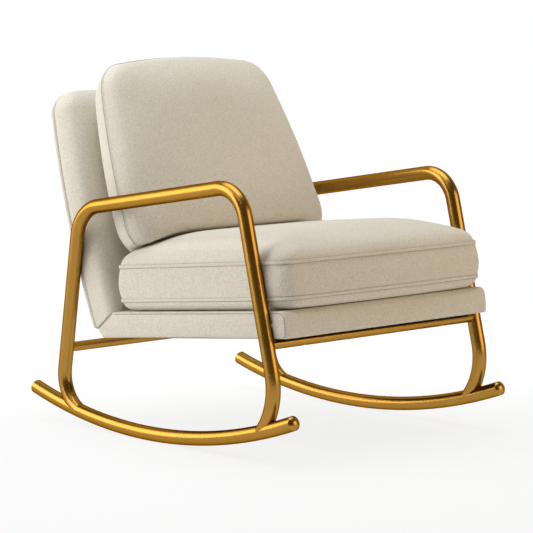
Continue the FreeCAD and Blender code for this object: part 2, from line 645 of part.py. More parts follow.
def build_fixings():
    hole = (BOLT_DIAMETER + BOLT_HOLE_CLEARANCE) / 2
    strap_low = -SEAT_GAP - BRACKET_THICKNESS
    head_rise = math.sqrt((RAIL_RADIUS - RAIL_WALL) ** 2 - (BOLT_HEAD_DIAMETER / 2) ** 2)
    in_rail = head_rise - SEAT_GAP - RAIL_RADIUS
    under_washer = strap_low - WASHER_THICKNESS
    washers = [ring_post(WASHER_DIAMETER / 2, hole, x, REAR_BOLT_ALONG, under_washer, strap_low) for x in REAR_BOLTS]
    nuts = []
    for x, along in BOLT_SPOTS:
        nut = ring_post(TEE_NUT_DIAMETER / 2, hole, x, along, BOARD_HIGH - TEE_NUT_LENGTH, BOARD_HIGH)
        flange = ring_post(TEE_NUT_FLANGE / 2, hole, x, along, BOARD_HIGH - TEE_NUT_FLANGE_THICKNESS, BOARD_HIGH)
        nuts.append(nut.fuse(flange))
    NODES["seat_bolt_washers"] = Part.makeCompound(washers)
    NODES["seat_tee_nuts"] = Part.makeCompound(nuts)
    NODES["front_seat_bolts"] = Part.makeCompound([bolt(x, 0, in_rail) for x in FRONT_BOLTS])
    NODES["rear_seat_bolts"] = Part.makeCompound([bolt(x, REAR_BOLT_ALONG, under_washer) for x in REAR_BOLTS])
    rail_along = SEAT_ALONG.dot(REAR_RAIL_CENTRE - SEAT_ORIGIN)
    rail_out = SEAT_OUT.dot(REAR_RAIL_CENTRE - SEAT_ORIGIN)
    rail = Part.makeCylinder(RAIL_RADIUS, 2 * FRAME_HALF_SPACING,
                             REAR_RAIL_CENTRE - ACROSS * FRAME_HALF_SPACING, ACROSS)
    for name, x in zip(("right", "left"), REAR_BOLTS):
        x0 = x - BRACKET_WIDTH / 2
        x1 = x + BRACKET_WIDTH / 2
        strap = seat_block(x0, x1, rail_along - BRACKET_TAIL, REAR_BOARD_END, strap_low, -SEAT_GAP)
        saddle = seat_block(x0, x1, rail_along - BRACKET_TAIL, rail_along + BRACKET_TAIL, rail_out, strap_low)
        NODES["rear_" + name + "_bracket"] = strap.fuse(saddle).cut(rail).cut(seat_drill(x, REAR_BOLT_ALONG))


# Loose cushions

def boxed_sections(shrink):
    """Outlines of the seat cushion: a rounded underside, a boxing that swells between its two seams,
    and a crown that rises as a quarter ellipse. Each is a distance out of the base and an inset."""
    start = BASE_THICKNESS + SOFT_CLEARANCE
    seam = start + SEAT_CUSHION_UNDERSIDE
    sections = []
    for t in (1.0, 0.85, 0.6, 0.3):
        inset = CUSHION_SEAM_INSET + (SEAT_CUSHION_UNDER_REACH - CUSHION_SEAM_INSET) * eased(t)
        sections.append((seam - (SEAT_CUSHION_UNDERSIDE - shrink) * t, inset + shrink))
    for t in (0.0, 0.25, 0.5, 0.75, 1.0):
        sections.append((seam + SEAT_CUSHION_BOXING * t, CUSHION_SEAM_INSET * (2 * t - 1) ** 2 + shrink))
    for t in (0.15, 0.3, 0.45, 0.6, 0.74, 0.86, 0.95, 1.0):
        inset = CUSHION_SEAM_INSET + (SEAT_CUSHION_CROWN_REACH - CUSHION_SEAM_INSET) * eased(t)
        sections.append((seam + SEAT_CUSHION_BOXING + (SEAT_CUSHION_CROWN - shrink) * t, inset + shrink))
    return sections


def lens_sections(shrink):
    """Outlines of the back cushion, which is widest at its front seam: a quarter ellipse back to the panel
    and a flatter one forward to the crown. Each is a distance out of the panel and an inset."""
    seam = BACK_PANEL_DEPTH + BACK_CUSHION_SEAM_DEPTH
    behind = BACK_CUSHION_SEAM_DEPTH - SOFT_CLEARANCE - shrink
    sections = []
    for t in (1.0, 0.97, 0.9, 0.8, 0.66, 0.5, 0.33, 0.16):
        sections.append((seam - behind * t, BACK_CUSHION_REAR_REACH * eased(t) + shrink))
    for t in (0.0, 0.16, 0.32, 0.48, 0.63, 0.77, 0.89, 0.97, 1.0):
        sections.append((seam + (BACK_CUSHION_CROWN - shrink) * t, BACK_CUSHION_CROWN_REACH * eased(t) + shrink))
    return sections


def seat_cushion_outline(out, inset):
    half = SEAT_CUSHION_HALF_WIDTH - inset
    front = SEAT_CUSHION_FRONT - inset
    rear = front - SEAT_CUSHION_DEPTH + 2 * inset
    corner = SEAT_CUSHION_CORNER + CUSHION_CORNER_SPREAD * inset
    bows = [SEAT_CUSHION_SIDE_BOW, SEAT_CUSHION_SIDE_BOW, SEAT_CUSHION_FRONT_BOW, SEAT_CUSHION_SIDE_BOW]
    corners = [(-half, rear), (half, rear), (half, front), (-half, front)]
    return rounded_outline(corners, [corner] * 4, bows, lambda p: on_seat(p.x, p.y, out))


def back_cushion_outline(out, inset):
    half = INNER_HALF_WIDTH - BACK_CUSHION_SIDE_CLEARANCE - inset
    top_half = BACK_CUSHION_TOP_HALF_WIDTH - inset
    low = BACK_CUSHION_START + inset
    high = BACK_CUSHION_START + BACK_CUSHION_HEIGHT - inset
    widest = BACK_CUSHION_CORNER_LIMIT * min(high - low, 2 * top_half)
    lower = min(BACK_CUSHION_LOWER_CORNER + CUSHION_CORNER_SPREAD * inset, widest)
    upper = min(BACK_CUSHION_UPPER_CORNER + CUSHION_CORNER_SPREAD * inset, widest)
    bows = [BACK_CUSHION_END_BOW, BACK_CUSHION_SIDE_BOW, BACK_CUSHION_END_BOW, BACK_CUSHION_SIDE_BOW]
    corners = [(-half, low), (half, low), (top_half, high), (-top_half, high)]
    return rounded_outline(corners, [lower, lower, upper, upper], bows, lambda p: on_back(p.x, p.y, out))


def leg_relief(grow):
    """Where the front legs press the seat cushion in: round each leg, and flat between leg and back."""
    low = side_point(front_leg_forward(BASE_HEEL_HEIGHT), BASE_HEEL_HEIGHT)
    high = side_point(front_leg_forward(ARM_HEIGHT), ARM_HEIGHT)
    rise = high - low
    to_rear = side_point(-2 * BASE_HEEL_BACK, 0)
    reliefs = []
    for side in (-1, 1):
        axis = ACROSS * (side * FRAME_HALF_SPACING)
        reliefs.append(Part.makeCylinder(TUBE_RADIUS + grow, rise.Length, low + axis, rise))
        wall = ACROSS * (side * (INNER_HALF_WIDTH - grow))
        panel = polygon_face([low + wall, high + wall, high + wall + to_rear, low + wall + to_rear])
        reliefs.append(panel.extrude(ACROSS * (side * TUBE_DIAMETER)))
    return Part.makeCompound(reliefs)


def seat_cushion_form(shrink):
    return pillow(seat_cushion_outline, boxed_sections(shrink)).cut(leg_relief(SOFT_CLEARANCE + shrink))


def back_cushion_form(shrink):
    rests_on = pillow(seat_cushion_outline, boxed_sections(-SOFT_CLEARANCE - shrink))
    return pillow(back_cushion_outline, lens_sections(shrink)).cut(rests_on)


def build_cushions():
    inside = CUSHION_FABRIC + SOFT_CLEARANCE
    for name, form in (("seat", seat_cushion_form), ("back", back_cushion_form)):
        NODES[name + "_cushion_cover"] = form(0).cut(form(CUSHION_FABRIC))
        NODES[name + "_cushion_filling"] = form(inside)


build_steel()
build_shell_covers()
build_seat_frame()
build_back_frame()
build_fixings()
build_cushions()

os.makedirs("parts", exist_ok=True)
for node, shape in NODES.items():
    print(node, shape.isValid(), len(shape.Solids), round(shape.Volume))
    shape.exportStep("parts/" + node + ".step")
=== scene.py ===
import math
import bpy
import numpy as np
from mathutils import Matrix, Vector


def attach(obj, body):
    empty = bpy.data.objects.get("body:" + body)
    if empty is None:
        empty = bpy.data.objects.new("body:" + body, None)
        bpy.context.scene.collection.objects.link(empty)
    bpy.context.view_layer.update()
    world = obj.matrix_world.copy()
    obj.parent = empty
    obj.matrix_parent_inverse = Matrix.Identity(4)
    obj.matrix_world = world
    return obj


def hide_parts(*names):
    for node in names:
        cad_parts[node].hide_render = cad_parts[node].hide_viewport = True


bl_info = {
    "name": "Upholstered rocking chair",
    "version": (1, 0, 0),
    "blender": (4, 5, 0),
    "location": "3D View > Sidebar > Chair",
    "description": "Dresses the rocking chair with its cushions, covers, seams, finishes and studio",
    "category": "Object",
}

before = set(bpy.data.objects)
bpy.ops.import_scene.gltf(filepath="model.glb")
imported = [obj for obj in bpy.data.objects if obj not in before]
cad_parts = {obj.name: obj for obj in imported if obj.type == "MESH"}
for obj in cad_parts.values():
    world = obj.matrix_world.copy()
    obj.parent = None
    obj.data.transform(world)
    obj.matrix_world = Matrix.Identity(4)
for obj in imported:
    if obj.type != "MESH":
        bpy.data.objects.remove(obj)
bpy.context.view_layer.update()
MM = 0.001

# Tube frame
TUBE_RADIUS = 16 * MM
FRAME_HALF_SPACING = 322 * MM
LEG_GAUGE_HEIGHT = 400 * MM
FRONT_LEG_FORWARD = 353.8 * MM
FRONT_LEG_LEAN = math.radians(14)
REAR_LEG_BACK = 244.3 * MM
REAR_LEG_LEAN = math.radians(9.2)
FRONT_RAIL_HEIGHT = 253.4 * MM
RAIL_RADIUS = 11 * MM
SEAT_GAP = 0.3 * MM

# Seat base and back panel
SEAT_TILT = math.radians(5.65)
BASE_THICKNESS = 58 * MM
BASE_HALF_WIDTH = 314 * MM
BASE_NOSE = 50 * MM
BASE_HEEL_BACK = 571 * MM
BASE_HEEL_HEIGHT = 20.6 * MM
BASE_HEEL_ROUND = 14 * MM
BACK_RECLINE = math.radians(24)
PANEL_HEIGHT = 572 * MM
PANEL_DEPTH = 64 * MM
PANEL_TOP_HALF_WIDTH = 259 * MM
PANEL_SIDE_BOW = 12 * MM
PANEL_TOP_BOW = 3 * MM
PANEL_CORNER = 66 * MM
PANEL_FRONT_ROUND = 56 * MM
PANEL_SIDE_SHARE = 0.55
PANEL_FOOT_ROUND = 20 * MM
PANEL_FOOT_REACH = 190 * MM

# Seat cushion, measured out of the base, and back cushion, measured out of the panel's rear seam
SEAT_CUSHION_START = BASE_THICKNESS + 0.6 * MM
SEAT_CUSHION_UNDERSIDE = 25 * MM
SEAT_CUSHION_BOXING = 75.5 * MM
SEAT_CUSHION_HALF_WIDTH = 311 * MM
SEAT_CUSHION_FRONT = 60 * MM
SEAT_CUSHION_DEPTH = 567 * MM
SEAT_CUSHION_UNDER_REACH = 26 * MM
SEAT_CUSHION_CROWN_REACH = 190 * MM
SEAT_CUSHION_FULLNESS = 3
SEAT_CUSHION_CORNERS = np.array([28, 28, 38, 38]) * MM
SEAT_CUSHION_BOWS = np.array([1.5, 1.5, 9, 1.5]) * MM
SEAM_INSET = 4.5 * MM
BACK_CUSHION_LOW = 106 * MM
BACK_CUSHION_HIGH = 575 * MM
BACK_CUSHION_HALF_WIDTH = 307 * MM
BACK_CUSHION_TOP_HALF_WIDTH = 245 * MM
BACK_CUSHION_SEAM = 172 * MM
BACK_CUSHION_REAR = PANEL_DEPTH + 0.6 * MM
BACK_CUSHION_REAR_REACH = 125 * MM
BACK_CUSHION_CROWN_REACH = 200 * MM
BACK_CUSHION_FULLNESS = 3.4
BACK_CUSHION_LOWER_CORNER = 75 * MM
BACK_CUSHION_UPPER_CORNER = 82 * MM
BACK_CUSHION_BOWS = np.array([12, 6.5, 12, 6.5]) * MM

# Cloth under the base, along the seat
DUST_HALF_WIDTH = 300 * MM
DUST_REAR = -541 * MM
DUST_FRONT = 36 * MM
DUST_SAG_REAR = -440 * MM
DUST_SAG_FRONT = -60 * MM

# Camera of the photograph
CAMERA_EYE = (-3.6414, -3.9271, 0.9663)
CAMERA_TARGET = (0.0, -0.0451, 0.3695)
CAMERA_ROLL = math.radians(-0.101)
CAMERA_LENS = 158.7
CAMERA_SHIFT = (0.0006, -0.0034)

# Colours of the lights
KEY_TINT = (1.0, 0.98, 0.965)
FILL_TINT = (1.0, 0.81, 0.56)
TOP_TINT = (0.88, 0.955, 1.0)
STRIP_TINT = (1.0, 0.98, 0.95)
AIR_TINT = (1.0, 0.87, 0.7, 1.0)


def side_vector(forward, up):
    """A vector in the chair's side view, forward of the contact line and up from the floor."""
    return np.array([0.0, -forward, up])


def unit(vectors):
    return vectors / np.linalg.norm(vectors, axis=-1, keepdims=True)


ACROSS = np.array([1.0, 0.0, 0.0])
SEAT_ALONG = side_vector(math.cos(SEAT_TILT), math.sin(SEAT_TILT))
SEAT_OUT = side_vector(-math.sin(SEAT_TILT), math.cos(SEAT_TILT))
BACK_ALONG = side_vector(-math.sin(BACK_RECLINE), math.cos(BACK_RECLINE))
BACK_OUT = side_vector(math.cos(BACK_RECLINE), math.sin(BACK_RECLINE))
FRONT_RAIL_FORWARD = FRONT_LEG_FORWARD - math.tan(FRONT_LEG_LEAN) * (FRONT_RAIL_HEIGHT - LEG_GAUGE_HEIGHT)
SEAT_ORIGIN = side_vector(FRONT_RAIL_FORWARD, FRONT_RAIL_HEIGHT) + SEAT_OUT * (RAIL_RADIUS + SEAT_GAP)
BACK_ORIGIN = SEAT_ORIGIN - SEAT_ALONG * BASE_HEEL_BACK + SEAT_OUT * BASE_HEEL_HEIGHT
# Where the panel's front face meets the base's top, along the seat and up the panel
PANEL_OVER_SEAT = PANEL_DEPTH + BACK_OUT @ (BACK_ORIGIN - SEAT_ORIGIN)
CORNER_ALONG = (PANEL_OVER_SEAT - BASE_THICKNESS * (BACK_OUT @ SEAT_OUT)) / (BACK_OUT @ SEAT_ALONG)
CORNER_UP = BACK_ALONG @ (SEAT_ORIGIN + SEAT_ALONG * CORNER_ALONG + SEAT_OUT * BASE_THICKNESS - BACK_ORIGIN)
# Level direction in which the camera looks
AHEAD = unit(np.array([CAMERA_TARGET[0] - CAMERA_EYE[0], CAMERA_TARGET[1] - CAMERA_EYE[1], 0.0]))


def placed(origin, along, out, x, a, n):
    """Points at x across, a along a slope and n out of it, as one array whose last axis is X, Y, Z."""
    x, a, n = np.broadcast_arrays(x, a, n)
    return origin + x[..., None] * ACROSS + a[..., None] * along + n[..., None] * out


def on_seat(x, along, out):
    return placed(SEAT_ORIGIN, SEAT_ALONG, SEAT_OUT, x, along, out)


def on_back(x, along, out):
    return placed(BACK_ORIGIN, BACK_ALONG, BACK_OUT, x, along, out)


def seat_coordinates(points):
    away = points - SEAT_ORIGIN
    return points[..., 0], away @ SEAT_ALONG, away @ SEAT_OUT


def back_coordinates(points):
    away = points - BACK_ORIGIN
    return points[..., 0], away @ BACK_ALONG, away @ BACK_OUT


def smallest(a, b, ease):
    """The smaller of two values, eased over into the other where they are close."""
    return 0.5 * (a + b - np.sqrt((a - b) ** 2 + ease ** 2))


# Loops and grids

def rounded_loops(corners, radii, bows, arc_steps=10, side_steps=24):
    """Closed loops through corners (loops, corners, 2): each corner is an arc of its radius, and each
    side is a parabola that bows out by its bow. The corners run anticlockwise."""
    to_last = unit(np.roll(corners, 1, axis=1) - corners)
    to_next = unit(np.roll(corners, -1, axis=1) - corners)
    half = 0.5 * np.arccos(np.clip((to_last * to_next).sum(-1), -1, 1))
    reach = (radii / np.tan(half))[..., None]
    centre = corners + unit(to_last + to_next) * (radii / np.sin(half))[..., None]
    start = corners + to_last * reach
    end = corners + to_next * reach
    sweep = (math.pi - 2 * half)[..., None, None]
    t = np.linspace(0, 1, arc_steps, endpoint=False)[:, None]
    arcs = (centre[:, :, None] + (np.sin((1 - t) * sweep) * (start - centre)[:, :, None]
                                  + np.sin(t * sweep) * (end - centre)[:, :, None]) / np.sin(sweep))
    run = np.roll(start, -1, axis=1) - end
    outward = unit(np.stack([run[..., 1], -run[..., 0]], axis=-1))
    t = np.linspace(0, 1, side_steps, endpoint=False)[:, None]
    sides = (end[:, :, None] + run[:, :, None] * t
             + outward[:, :, None] * bows[..., None, None] * 4 * t * (1 - t))
    loops = np.concatenate([arcs, sides], axis=2)
    return loops.reshape(len(corners), -1, 2)


def quarter_in(t, fullness=2):
    """Share of the way in for a quarter ellipse, at a share t of the way out. More fullness than 2 makes
    its corner squarer."""
    return 1 - (1 - np.minimum(t, 1) ** fullness) ** (1 / fullness)


def grid_faces(rows, columns, closed):
    """Corner numbers of the four-sided faces of a grid of rows by columns."""
    row = np.arange(rows - 1)[:, None] * columns
    column = np.arange(columns if closed else columns - 1)[None, :]
    beside = (column + 1) % columns
    faces = np.stack([row + column, row + beside, row + columns + beside, row + columns + column], axis=-1)
    return faces.reshape(-1, 4)


def new_mesh_object(name, points, faces):
    """An object at the origin from points and faces, shaded smooth."""
    mesh = bpy.data.meshes.new(name)
    mesh.from_pydata(points.tolist(), [], faces)
    mesh.validate()
    mesh.shade_smooth()
    piece = bpy.data.objects.new(name, mesh)
    bpy.context.collection.objects.link(piece)
    return piece


def enclosed_volume(points, quads):
    """Volume inside a closed grid: the sum of the signed tetrahedra from the origin to each face's two
    halves."""
    a, b, c, d = (points[quads[:, i]] for i in range(4))
    return (np.cross(a, b) * c + np.cross(a, c) * d).sum() / 6


def closed_form(name, grid):
    """A closed skin over a grid of loops (loops, points, 3); each end loop is closed by a fan to its
    middle."""
    rows, columns, _ = grid.shape
    points = np.concatenate([grid.reshape(-1, 3), grid[:1].mean(1), grid[-1:].mean(1)])
    quads = grid_faces(rows, columns, True)
    ring = np.arange(columns)
    beside = (ring + 1) % columns
    last = (rows - 1) * columns
    start_fan = np.stack([beside, ring, np.full(columns, rows * columns)], axis=-1)
    end_fan = np.stack([last + ring, last + beside, np.full(columns, rows * columns + 1)], axis=-1)
    if enclosed_volume(points - points.mean(0), quads) < 0:
        quads = quads[:, ::-1]
        start_fan = start_fan[:, ::-1]
        end_fan = end_fan[:, ::-1]
    return new_mesh_object(name, points, quads.tolist() + start_fan.tolist() + end_fan.tolist())


def banded(name, path, outward, half_width, height, closed, steps=10):
    """A sewn band along a path: a flat ellipse, half_width along the cloth and height out of it, is
    carried along the path. outward gives the cloth's outward direction at each point of the path."""
    ahead = np.roll(path, -1, axis=0) - np.roll(path, 1, axis=0)
    if not closed:
        ahead[0] = path[1] - path[0]
        ahead[-1] = path[-1] - path[-2]
    ahead = unit(ahead)
    outward = unit(outward - ahead * (outward * ahead).sum(-1, keepdims=True))
    beside = np.cross(ahead, outward)
    turn = np.linspace(0, 2 * math.pi, steps, endpoint=False)[None, :, None]
    grid = (path[:, None] + beside[:, None] * half_width * np.cos(turn)
            + outward[:, None] * height * np.sin(turn))
    if not closed:
        return closed_form(name, grid)
    rows, columns, _ = grid.shape
    points = grid.reshape(-1, 3)
    quads = grid_faces(rows + 1, columns, True) % (rows * columns)
    if enclosed_volume(points - points.mean(0), quads) < 0:
        quads = quads[:, ::-1]
    return new_mesh_object(name, points, quads.tolist())


def read_points(mesh):
    points = np.empty(len(mesh.vertices) * 3, dtype=np.float32)
    mesh.vertices.foreach_get("co", points)
    return points.reshape(-1, 3).astype(np.float64)


def write_points(mesh, points):
    mesh.vertices.foreach_set("co", points.astype(np.float32).ravel())
    mesh.update()


def apply_modifiers(piece):
    """Puts a piece's modifiers into its mesh."""
    shown = piece.evaluated_get(bpy.context.evaluated_depsgraph_get())
    mesh = bpy.data.meshes.new_from_object(shown)
    old = piece.data
    piece.modifiers.clear()
    piece.data = mesh
    mesh.name = piece.name
    bpy.data.meshes.remove(old)


# Soft forms

FILLING_FRAMES = 20
TAUT_ROUNDS = 160
MITRE_STEPS = 30
DUST_STEPS = 41
COVER_LEG_GAP = 0.7 * MM
COVER_LEG_EASE = 2 * MM


def clear_of_legs(points, gap, ease, flat_behind):
    """Draws points in across X where a leg presses the cloth. Round a leg's axis the limit is the circle
    of the tube plus gap; with flat_behind, the limit also stays at the tube's inner side behind the front
    legs."""
    forward = -points[..., 1]
    height = points[..., 2] - LEG_GAUGE_HEIGHT
    wide = TUBE_RADIUS + gap
    limit = np.full(forward.shape, FRAME_HALF_SPACING)
    front = (forward - FRONT_LEG_FORWARD + math.tan(FRONT_LEG_LEAN) * height) * math.cos(FRONT_LEG_LEAN)
    rear = (forward + REAR_LEG_BACK - math.tan(REAR_LEG_LEAN) * height) * math.cos(REAR_LEG_LEAN)
    if flat_behind:
        front = np.maximum(front, 0)
    for across in (front, rear):
        limit = np.minimum(limit, FRAME_HALF_SPACING - np.sqrt(np.maximum(wide ** 2 - across ** 2, 0)))
    held = points.copy()
    held[..., 0] = np.sign(points[..., 0]) * smallest(np.abs(points[..., 0]), limit, ease)
    return held


def top_surface(points, cell):
    """Height map of the seat cushion's top: the highest point out of the seat's slope in each square
    cell."""
    x, along, out = seat_coordinates(points)
    low = np.array([x.min(), along.min()])
    column = ((x - low[0]) / cell).astype(int)
    row = ((along - low[1]) / cell).astype(int)
    heights = np.full((row.max() + 1, column.max() + 1), -1.0)
    np.maximum.at(heights, (row, column), out)
    return heights, low, cell


def lift_onto(points, surface, gap):
    """Moves points up the back's slope until they are gap above the seat cushion's height map."""
    heights, low, cell = surface
    lifted = points.copy()
    for _ in range(3):
        x, along, out = seat_coordinates(lifted)
        column = np.clip((x - low[0]) / cell - 0.5, 0, heights.shape[1] - 1.001)
        row = np.clip((along - low[1]) / cell - 0.5, 0, heights.shape[0] - 1.001)
        c = column.astype(int)
        r = row.astype(int)
        s = column - c
        t = row - r
        top = ((1 - t) * ((1 - s) * heights[r, c] + s * heights[r, c + 1])
               + t * ((1 - s) * heights[r + 1, c] + s * heights[r + 1, c + 1]))
        below = -smallest(np.zeros_like(top), out - top - gap, 2 * MM)
        lifted = lifted + (below / (BACK_ALONG @ SEAT_OUT))[:, None] * BACK_ALONG
    return lifted


def held_near(out, level, width):
    """How firmly cloth is held, from 1 at a level to 0 a width or so away from it."""
    return np.exp(-((out - level) / width) ** 4)


def hold_points(piece, weights, levels=8):
    """A vertex group of held points, in steps of weight."""
    group = piece.vertex_groups.new(name="held")
    step = np.round(weights * levels).astype(int)
    for level in range(1, levels + 1):
        group.add(np.flatnonzero(step == level).tolist(), level / levels, "REPLACE")
    return group


def spread(mesh, values, rounds):
    """Values at a mesh's points, evened out over the neighbouring points a number of times."""
    edges = np.empty(len(mesh.edges) * 2, dtype=np.int32)
    mesh.edges.foreach_get("vertices", edges)
    one, other = edges.reshape(-1, 2).T
    neighbours = np.bincount(edges, minlength=len(values))[:, None]
    for _ in range(rounds):
        around = np.zeros_like(values)
        np.add.at(around, one, values[other])
        np.add.at(around, other, values[one])
        values = 0.5 * (values + around / neighbours)
    return values


def swell(piece, voxel, pressure, most, hold):
    """Fills a cover like a cushion: the skin is remeshed evenly, held along its seams and where it rests,
    and blown up as cloth for twenty frames. No point moves further than most, and the taut cover evens
    out the movement."""
    remesh = piece.modifiers.new("even_skin", "REMESH")
    remesh.mode = "VOXEL"
    remesh.voxel_size = voxel
    smooth = piece.modifiers.new("smooth_skin", "SMOOTH")
    smooth.factor = 0.5
    smooth.iterations = 4
    apply_modifiers(piece)
    before = read_points(piece.data)
    held = hold(before)
    hold_points(piece, held)
    cloth = piece.modifiers.new("filling", "CLOTH")
    cloth.settings.quality = 5
    cloth.settings.use_pressure = True
    cloth.settings.uniform_pressure_force = pressure
    cloth.settings.effector_weights.gravity = 0
    cloth.settings.vertex_group_mass = "held"
    cloth.settings.tension_stiffness = 15
    cloth.settings.compression_stiffness = 15
    cloth.settings.bending_stiffness = 2
    cloth.point_cache.frame_end = FILLING_FRAMES
    scene = bpy.context.scene
    for number in range(1, FILLING_FRAMES + 1):
        scene.frame_set(number)
    shown = piece.evaluated_get(bpy.context.evaluated_depsgraph_get())
    after = read_points(shown.to_mesh())
    shown.to_mesh_clear()
    piece.modifiers.clear()
    piece.vertex_groups.clear()
    scene.frame_set(1)
    moved = after - before
    length = np.linalg.norm(moved, axis=-1, keepdims=True)
    moved = spread(piece.data, moved * np.minimum(1, most / np.maximum(length, 1e-9)), TAUT_ROUNDS)
    write_points(piece.data, before + moved * (1 - held[:, None]))
    taut = piece.modifiers.new("taut_skin", "SMOOTH")
    taut.factor = 0.5
    taut.iterations = 10
    finer = piece.modifiers.new("finer_skin", "SUBSURF")
    finer.levels = 1
    finer.render_levels = 1
    apply_modifiers(piece)
    piece.data.shade_smooth()


def creased(mesh, distance, depth, width):
    """A mesh's points, drawn in along their normals where a seam pulls the cloth. distance is each
    point's distance from the seam; the groove is a bell of the given depth and width."""
    normals = np.empty(len(mesh.vertices) * 3, dtype=np.float32)
    mesh.vertices.foreach_get("normal", normals)
    pull = depth * np.exp(-(distance / width) ** 2)
    return read_points(mesh) - normals.reshape(-1, 3) * pull[:, None]


def seat_cushion_loops(out, inset):
    """Outlines of the seat cushion at a distance out of the base and an inset from its widest line."""
    half = SEAT_CUSHION_HALF_WIDTH - inset
    front = SEAT_CUSHION_FRONT - inset
    rear = SEAT_CUSHION_FRONT - SEAT_CUSHION_DEPTH + inset
    corners = np.stack([np.stack([-half, rear], -1), np.stack([half, rear], -1),
                        np.stack([half, front], -1), np.stack([-half, front], -1)], axis=1)
    radii = SEAT_CUSHION_CORNERS + 0.2 * inset[:, None]
    bows = np.tile(SEAT_CUSHION_BOWS, (len(out), 1))
    loops = rounded_loops(corners, radii, bows)
    return on_seat(loops[..., 0], loops[..., 1], out[:, None])


def seat_cushion_skin(crown):
    """Loops of the seat cushion: a quarter round underside, a boxing that swells between its two seams,
    and a crown that rises a little fuller than a quarter ellipse."""
    bottom_seam = SEAT_CUSHION_START + SEAT_CUSHION_UNDERSIDE
    top_seam = bottom_seam + SEAT_CUSHION_BOXING
    t = np.linspace(1, 0, 9)[:-1]
    under_out = bottom_seam - SEAT_CUSHION_UNDERSIDE * t
    under_inset = SEAM_INSET + (SEAT_CUSHION_UNDER_REACH - SEAM_INSET) * quarter_in(t)
    t = np.linspace(0, 1, 13)
    boxing_out = bottom_seam + SEAT_CUSHION_BOXING * t
    boxing_inset = SEAM_INSET * (2 * t - 1) ** 2
    t = np.sin(np.linspace(0, math.pi / 2, 25)[1:])
    crown_out = top_seam + crown * t
    crown_inset = SEAM_INSET + (SEAT_CUSHION_CROWN_REACH - SEAM_INSET) * quarter_in(t, SEAT_CUSHION_FULLNESS)
    out = np.concatenate([under_out, boxing_out, crown_out])
    inset = np.concatenate([under_inset, boxing_inset, crown_inset])
    return seat_cushion_loops(out, inset)


def seat_cushion_seam(out):
    """Path of one of the seat cushion's two sewn seams, and the outward direction along it."""
    level = np.array([out])
    path = seat_cushion_loops(level, np.array([SEAM_INSET]))[0]
    wider = seat_cushion_loops(level, np.array([SEAM_INSET - 10 * MM]))[0]
    outward = unit(wider - path)
    return clear_of_legs(path, 1.2 * MM, 1.0 * MM, True), outward


def back_cushion_loops(out, inset):
    """Outlines of the back cushion at a distance out of the panel's rear seam and an inset from its
    widest line. The low side draws in less, as it is pressed onto the seat."""
    half = BACK_CUSHION_HALF_WIDTH - inset
    top_half = BACK_CUSHION_TOP_HALF_WIDTH - inset
    low = BACK_CUSHION_LOW + 0.5 * inset
    high = BACK_CUSHION_HIGH - inset
    corners = np.stack([np.stack([-half, low], -1), np.stack([half, low], -1),
                        np.stack([top_half, high], -1), np.stack([-top_half, high], -1)], axis=1)
    widest = 0.36 * np.minimum(high - low, 2 * top_half)
    lower = np.minimum(BACK_CUSHION_LOWER_CORNER + 0.15 * inset, widest)
    upper = np.minimum(BACK_CUSHION_UPPER_CORNER + 0.15 * inset, widest)
    radii = np.stack([lower, lower, upper, upper], axis=1)
    bows = np.tile(BACK_CUSHION_BOWS, (len(out), 1))
    loops = rounded_loops(corners, radii, bows)
    return on_back(loops[..., 0], loops[..., 1], out[:, None])


def back_cushion_skin(crown):
    """Loops of the back cushion: a quarter ellipse from the panel out to its seam, and from the seam a
    fuller dome that reaches over most of the face to its crown."""
    t = np.sin(np.linspace(math.pi / 2, 0, 25)[:-1])
    rear_out = BACK_CUSHION_SEAM - (BACK_CUSHION_SEAM - BACK_CUSHION_REAR) * t
    rear_inset = BACK_CUSHION_REAR_REACH * quarter_in(t)
    t = np.sin(np.linspace(0, math.pi / 2, 25))
    front_out = BACK_CUSHION_SEAM + crown * t
    front_inset = BACK_CUSHION_CROWN_REACH * quarter_in(t, BACK_CUSHION_FULLNESS)
    out = np.concatenate([rear_out, front_out])
    inset = np.concatenate([rear_inset, front_inset])
    return back_cushion_loops(out, inset)


def base_skin():
    """Loops of the seat base, one side outline after another across X. The side outline has a bowed front,
    heel and bottom, and ends on the mitre. Near each end the outline draws in as a round edge and closes over
    a slightly domed side."""
    corners = np.array([[[BASE_NOSE, 0.0], [BASE_NOSE, BASE_THICKNESS], [CORNER_ALONG, BASE_THICKNESS],
                         [-BASE_HEEL_BACK, BASE_HEEL_HEIGHT], [BASE_HEEL_ROUND - BASE_HEEL_BACK, 0.0]]])
    radii = np.array([[5.0, 15.0, 2.0, 1.5, 12.0]]) * MM
    bows = np.array([[1.2, 0.0, 0.0, 1.0, -1.5]]) * MM
    outline = rounded_loops(corners, radii, bows, side_steps=120)[0]
    middle = np.array([(BASE_NOSE - BASE_HEEL_BACK) / 2, BASE_THICKNESS / 2])
    half_size = np.array([(BASE_NOSE + BASE_HEEL_BACK) / 2, BASE_THICKNESS / 2])
    edge_inset = np.array([0.0, 0.3, 1.0, 2.2, 4.0, 8.0, 16.0, 26.0]) * MM
    edge_x = BASE_HALF_WIDTH - np.array([7.0, 5.2, 3.6, 2.5, 1.9, 1.2, 0.5, 0.0]) * MM
    inner_x = np.linspace(-edge_x[0], edge_x[0], 61)[1:-1]
    x = np.concatenate([-edge_x[::-1], inner_x, edge_x])
    inset = np.concatenate([edge_inset[::-1], np.zeros(len(inner_x)), edge_inset])
    drawn = middle + (outline - middle)[None] * (1 - inset[:, None] / half_size)[:, None]
    return on_seat(x[:, None], drawn[..., 0], drawn[..., 1])


def base_edge(side):
    """Path of the seam round one end of the seat base: up the front edge, over the nose and back along
    the top. It is part of the base's own loop, four loops in from its side."""
    loop = base_skin()[3 if side < 0 else -4]
    steps = len(loop) // 5
    return loop[:2 * steps]


